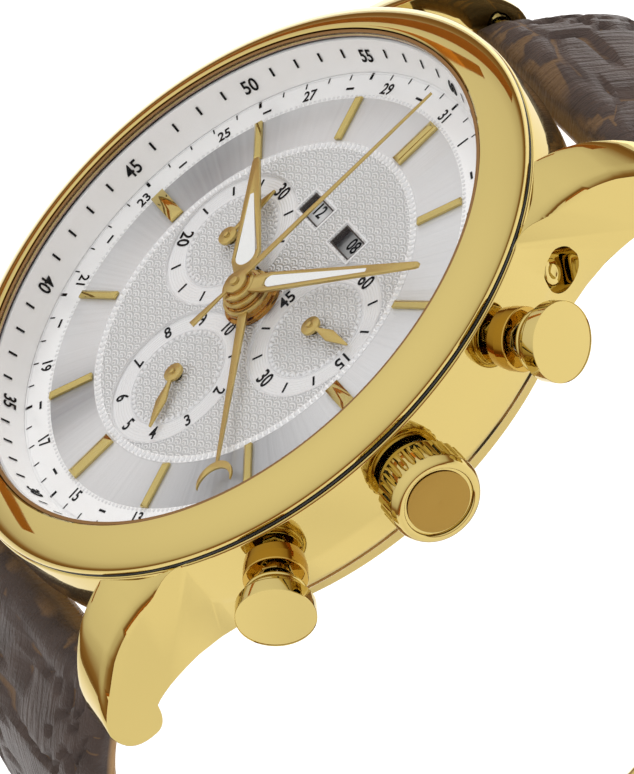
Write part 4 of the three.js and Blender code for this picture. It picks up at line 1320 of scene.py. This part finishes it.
def squeezed(node, jointName):  # works out a coil spring's seat and how much it would shorten as its button goes in, then gives the spring a mesh of its own
    spring = frame["nodes"][node]
    joint = jointWith("name", jointName)
    outward = -Vector(joint["axis"])
    reaches = [(spring.matrix_world @ vertex.co).dot(outward) for vertex in spring.data.vertices]
    low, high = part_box(node)
    middle = (Vector(low) + Vector(high)) / 2
    seat = middle + outward * (min(reaches) - middle.dot(outward))
    shortened = 1 - joint["range_m"][1] / (max(reaches) - min(reaches))
    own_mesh(spring)


squeezed("start_pusher_spring", "start_press")
squeezed("reset_pusher_spring", "reset_press")
squeezed("corrector_spring", "corrector_press")

print("light and floor")
low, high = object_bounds()
clear()
bpy.ops.mesh.primitive_plane_add(size=6, location=(0, 0, low[2] - 0.0005))
floor = bpy.context.object
floor.name = "floor"
floorFinish = Finish("pale_floor", (0.95, 0.95, 0.95), 0.7, **{
    "Emission Color": (1, 1, 1, 1), "Emission Strength": 0.12})
floor.data.materials.append(floorFinish.material)
world = bpy.data.worlds.new("studio")
bpy.context.scene.world = world
world.use_nodes = True
nodes = world.node_tree.nodes
direction = nodes.new("ShaderNodeTexCoord")
parts = nodes.new("ShaderNodeSeparateXYZ")
remap = nodes.new("ShaderNodeMapRange")
remap.inputs["From Min"].default_value = -1
ramp = nodes.new("ShaderNodeValToRGB")
studioLevels = [  # from below to overhead
    (0.0, (0.9, 0.9, 0.9)), (0.46, (0.55, 0.45, 0.32)), (0.52, (0.24, 0.12, 0.04)), (0.57, (0.34, 0.2, 0.09)),
    (0.63, (0.72, 0.68, 0.62)), (0.74, (0.95, 0.94, 0.93)), (1.0, (1.12, 1.12, 1.12)),
]
for _ in range(len(studioLevels) - 2):
    ramp.color_ramp.elements.new(0.5)
for element, (height, level) in zip(ramp.color_ramp.elements, studioLevels):
    element.position = height
    element.color = (*level, 1)
world.node_tree.links.new(direction.outputs["Generated"], parts.inputs[0])
world.node_tree.links.new(parts.outputs["Z"], remap.inputs["Value"])
world.node_tree.links.new(remap.outputs["Result"], ramp.inputs["Fac"])
world.node_tree.links.new(ramp.outputs["Color"], nodes["Background"].inputs["Color"])
nodes["Background"].inputs["Strength"].default_value = 1.0


def softbox(name, place, size, power):
    clear()
    bpy.ops.object.light_add(type="AREA", location=place)
    lamp = bpy.context.object
    lamp.name = name
    lamp.data.shape = "RECTANGLE"
    lamp.data.size, lamp.data.size_y = size
    lamp.data.energy = power
    lamp.data.color = (1, 1, 1)
    lamp.rotation_euler = aimed(place, (0, 0, 0))
    lamp.visible_glossy = False


softbox("key", (-0.42, 0.28, 0.24), (0.16, 0.16), 1.9)
softbox("side", (0.25, -0.5, 0.4), (0.2, 0.3), 0.5)


def card(name, place, target, size, color):  # a warm card that only polished metal sees
    clear()
    bpy.ops.mesh.primitive_plane_add(size=1, location=place)
    sheet = bpy.context.object
    sheet.name = name
    sheet.scale = (*size, 1)
    sheet.rotation_euler = aimed(place, target)
    sheet.data.materials.append(Finish(name, color, 0.9).material)
    sheet.visible_camera = False
    sheet.visible_shadow = False
    sheet.visible_diffuse = False


card("card_low_right", (0.22, -0.06, -0.01), (0, 0, 0.004), (0.5, 0.035), (0.36, 0.12, 0.012))
card("card_back", (-0.3, 0.1, 0.10), (0, 0, 0.01), (0.5, 0.06), (0.30, 0.10, 0.012))
card("card_far", (-0.44, -0.02, 0.29), (0, 0, 0.01), (0.7, 0.045), (0.36, 0.13, 0.015))

bpy.context.scene.view_settings.view_transform = "Standard"
print("finish")
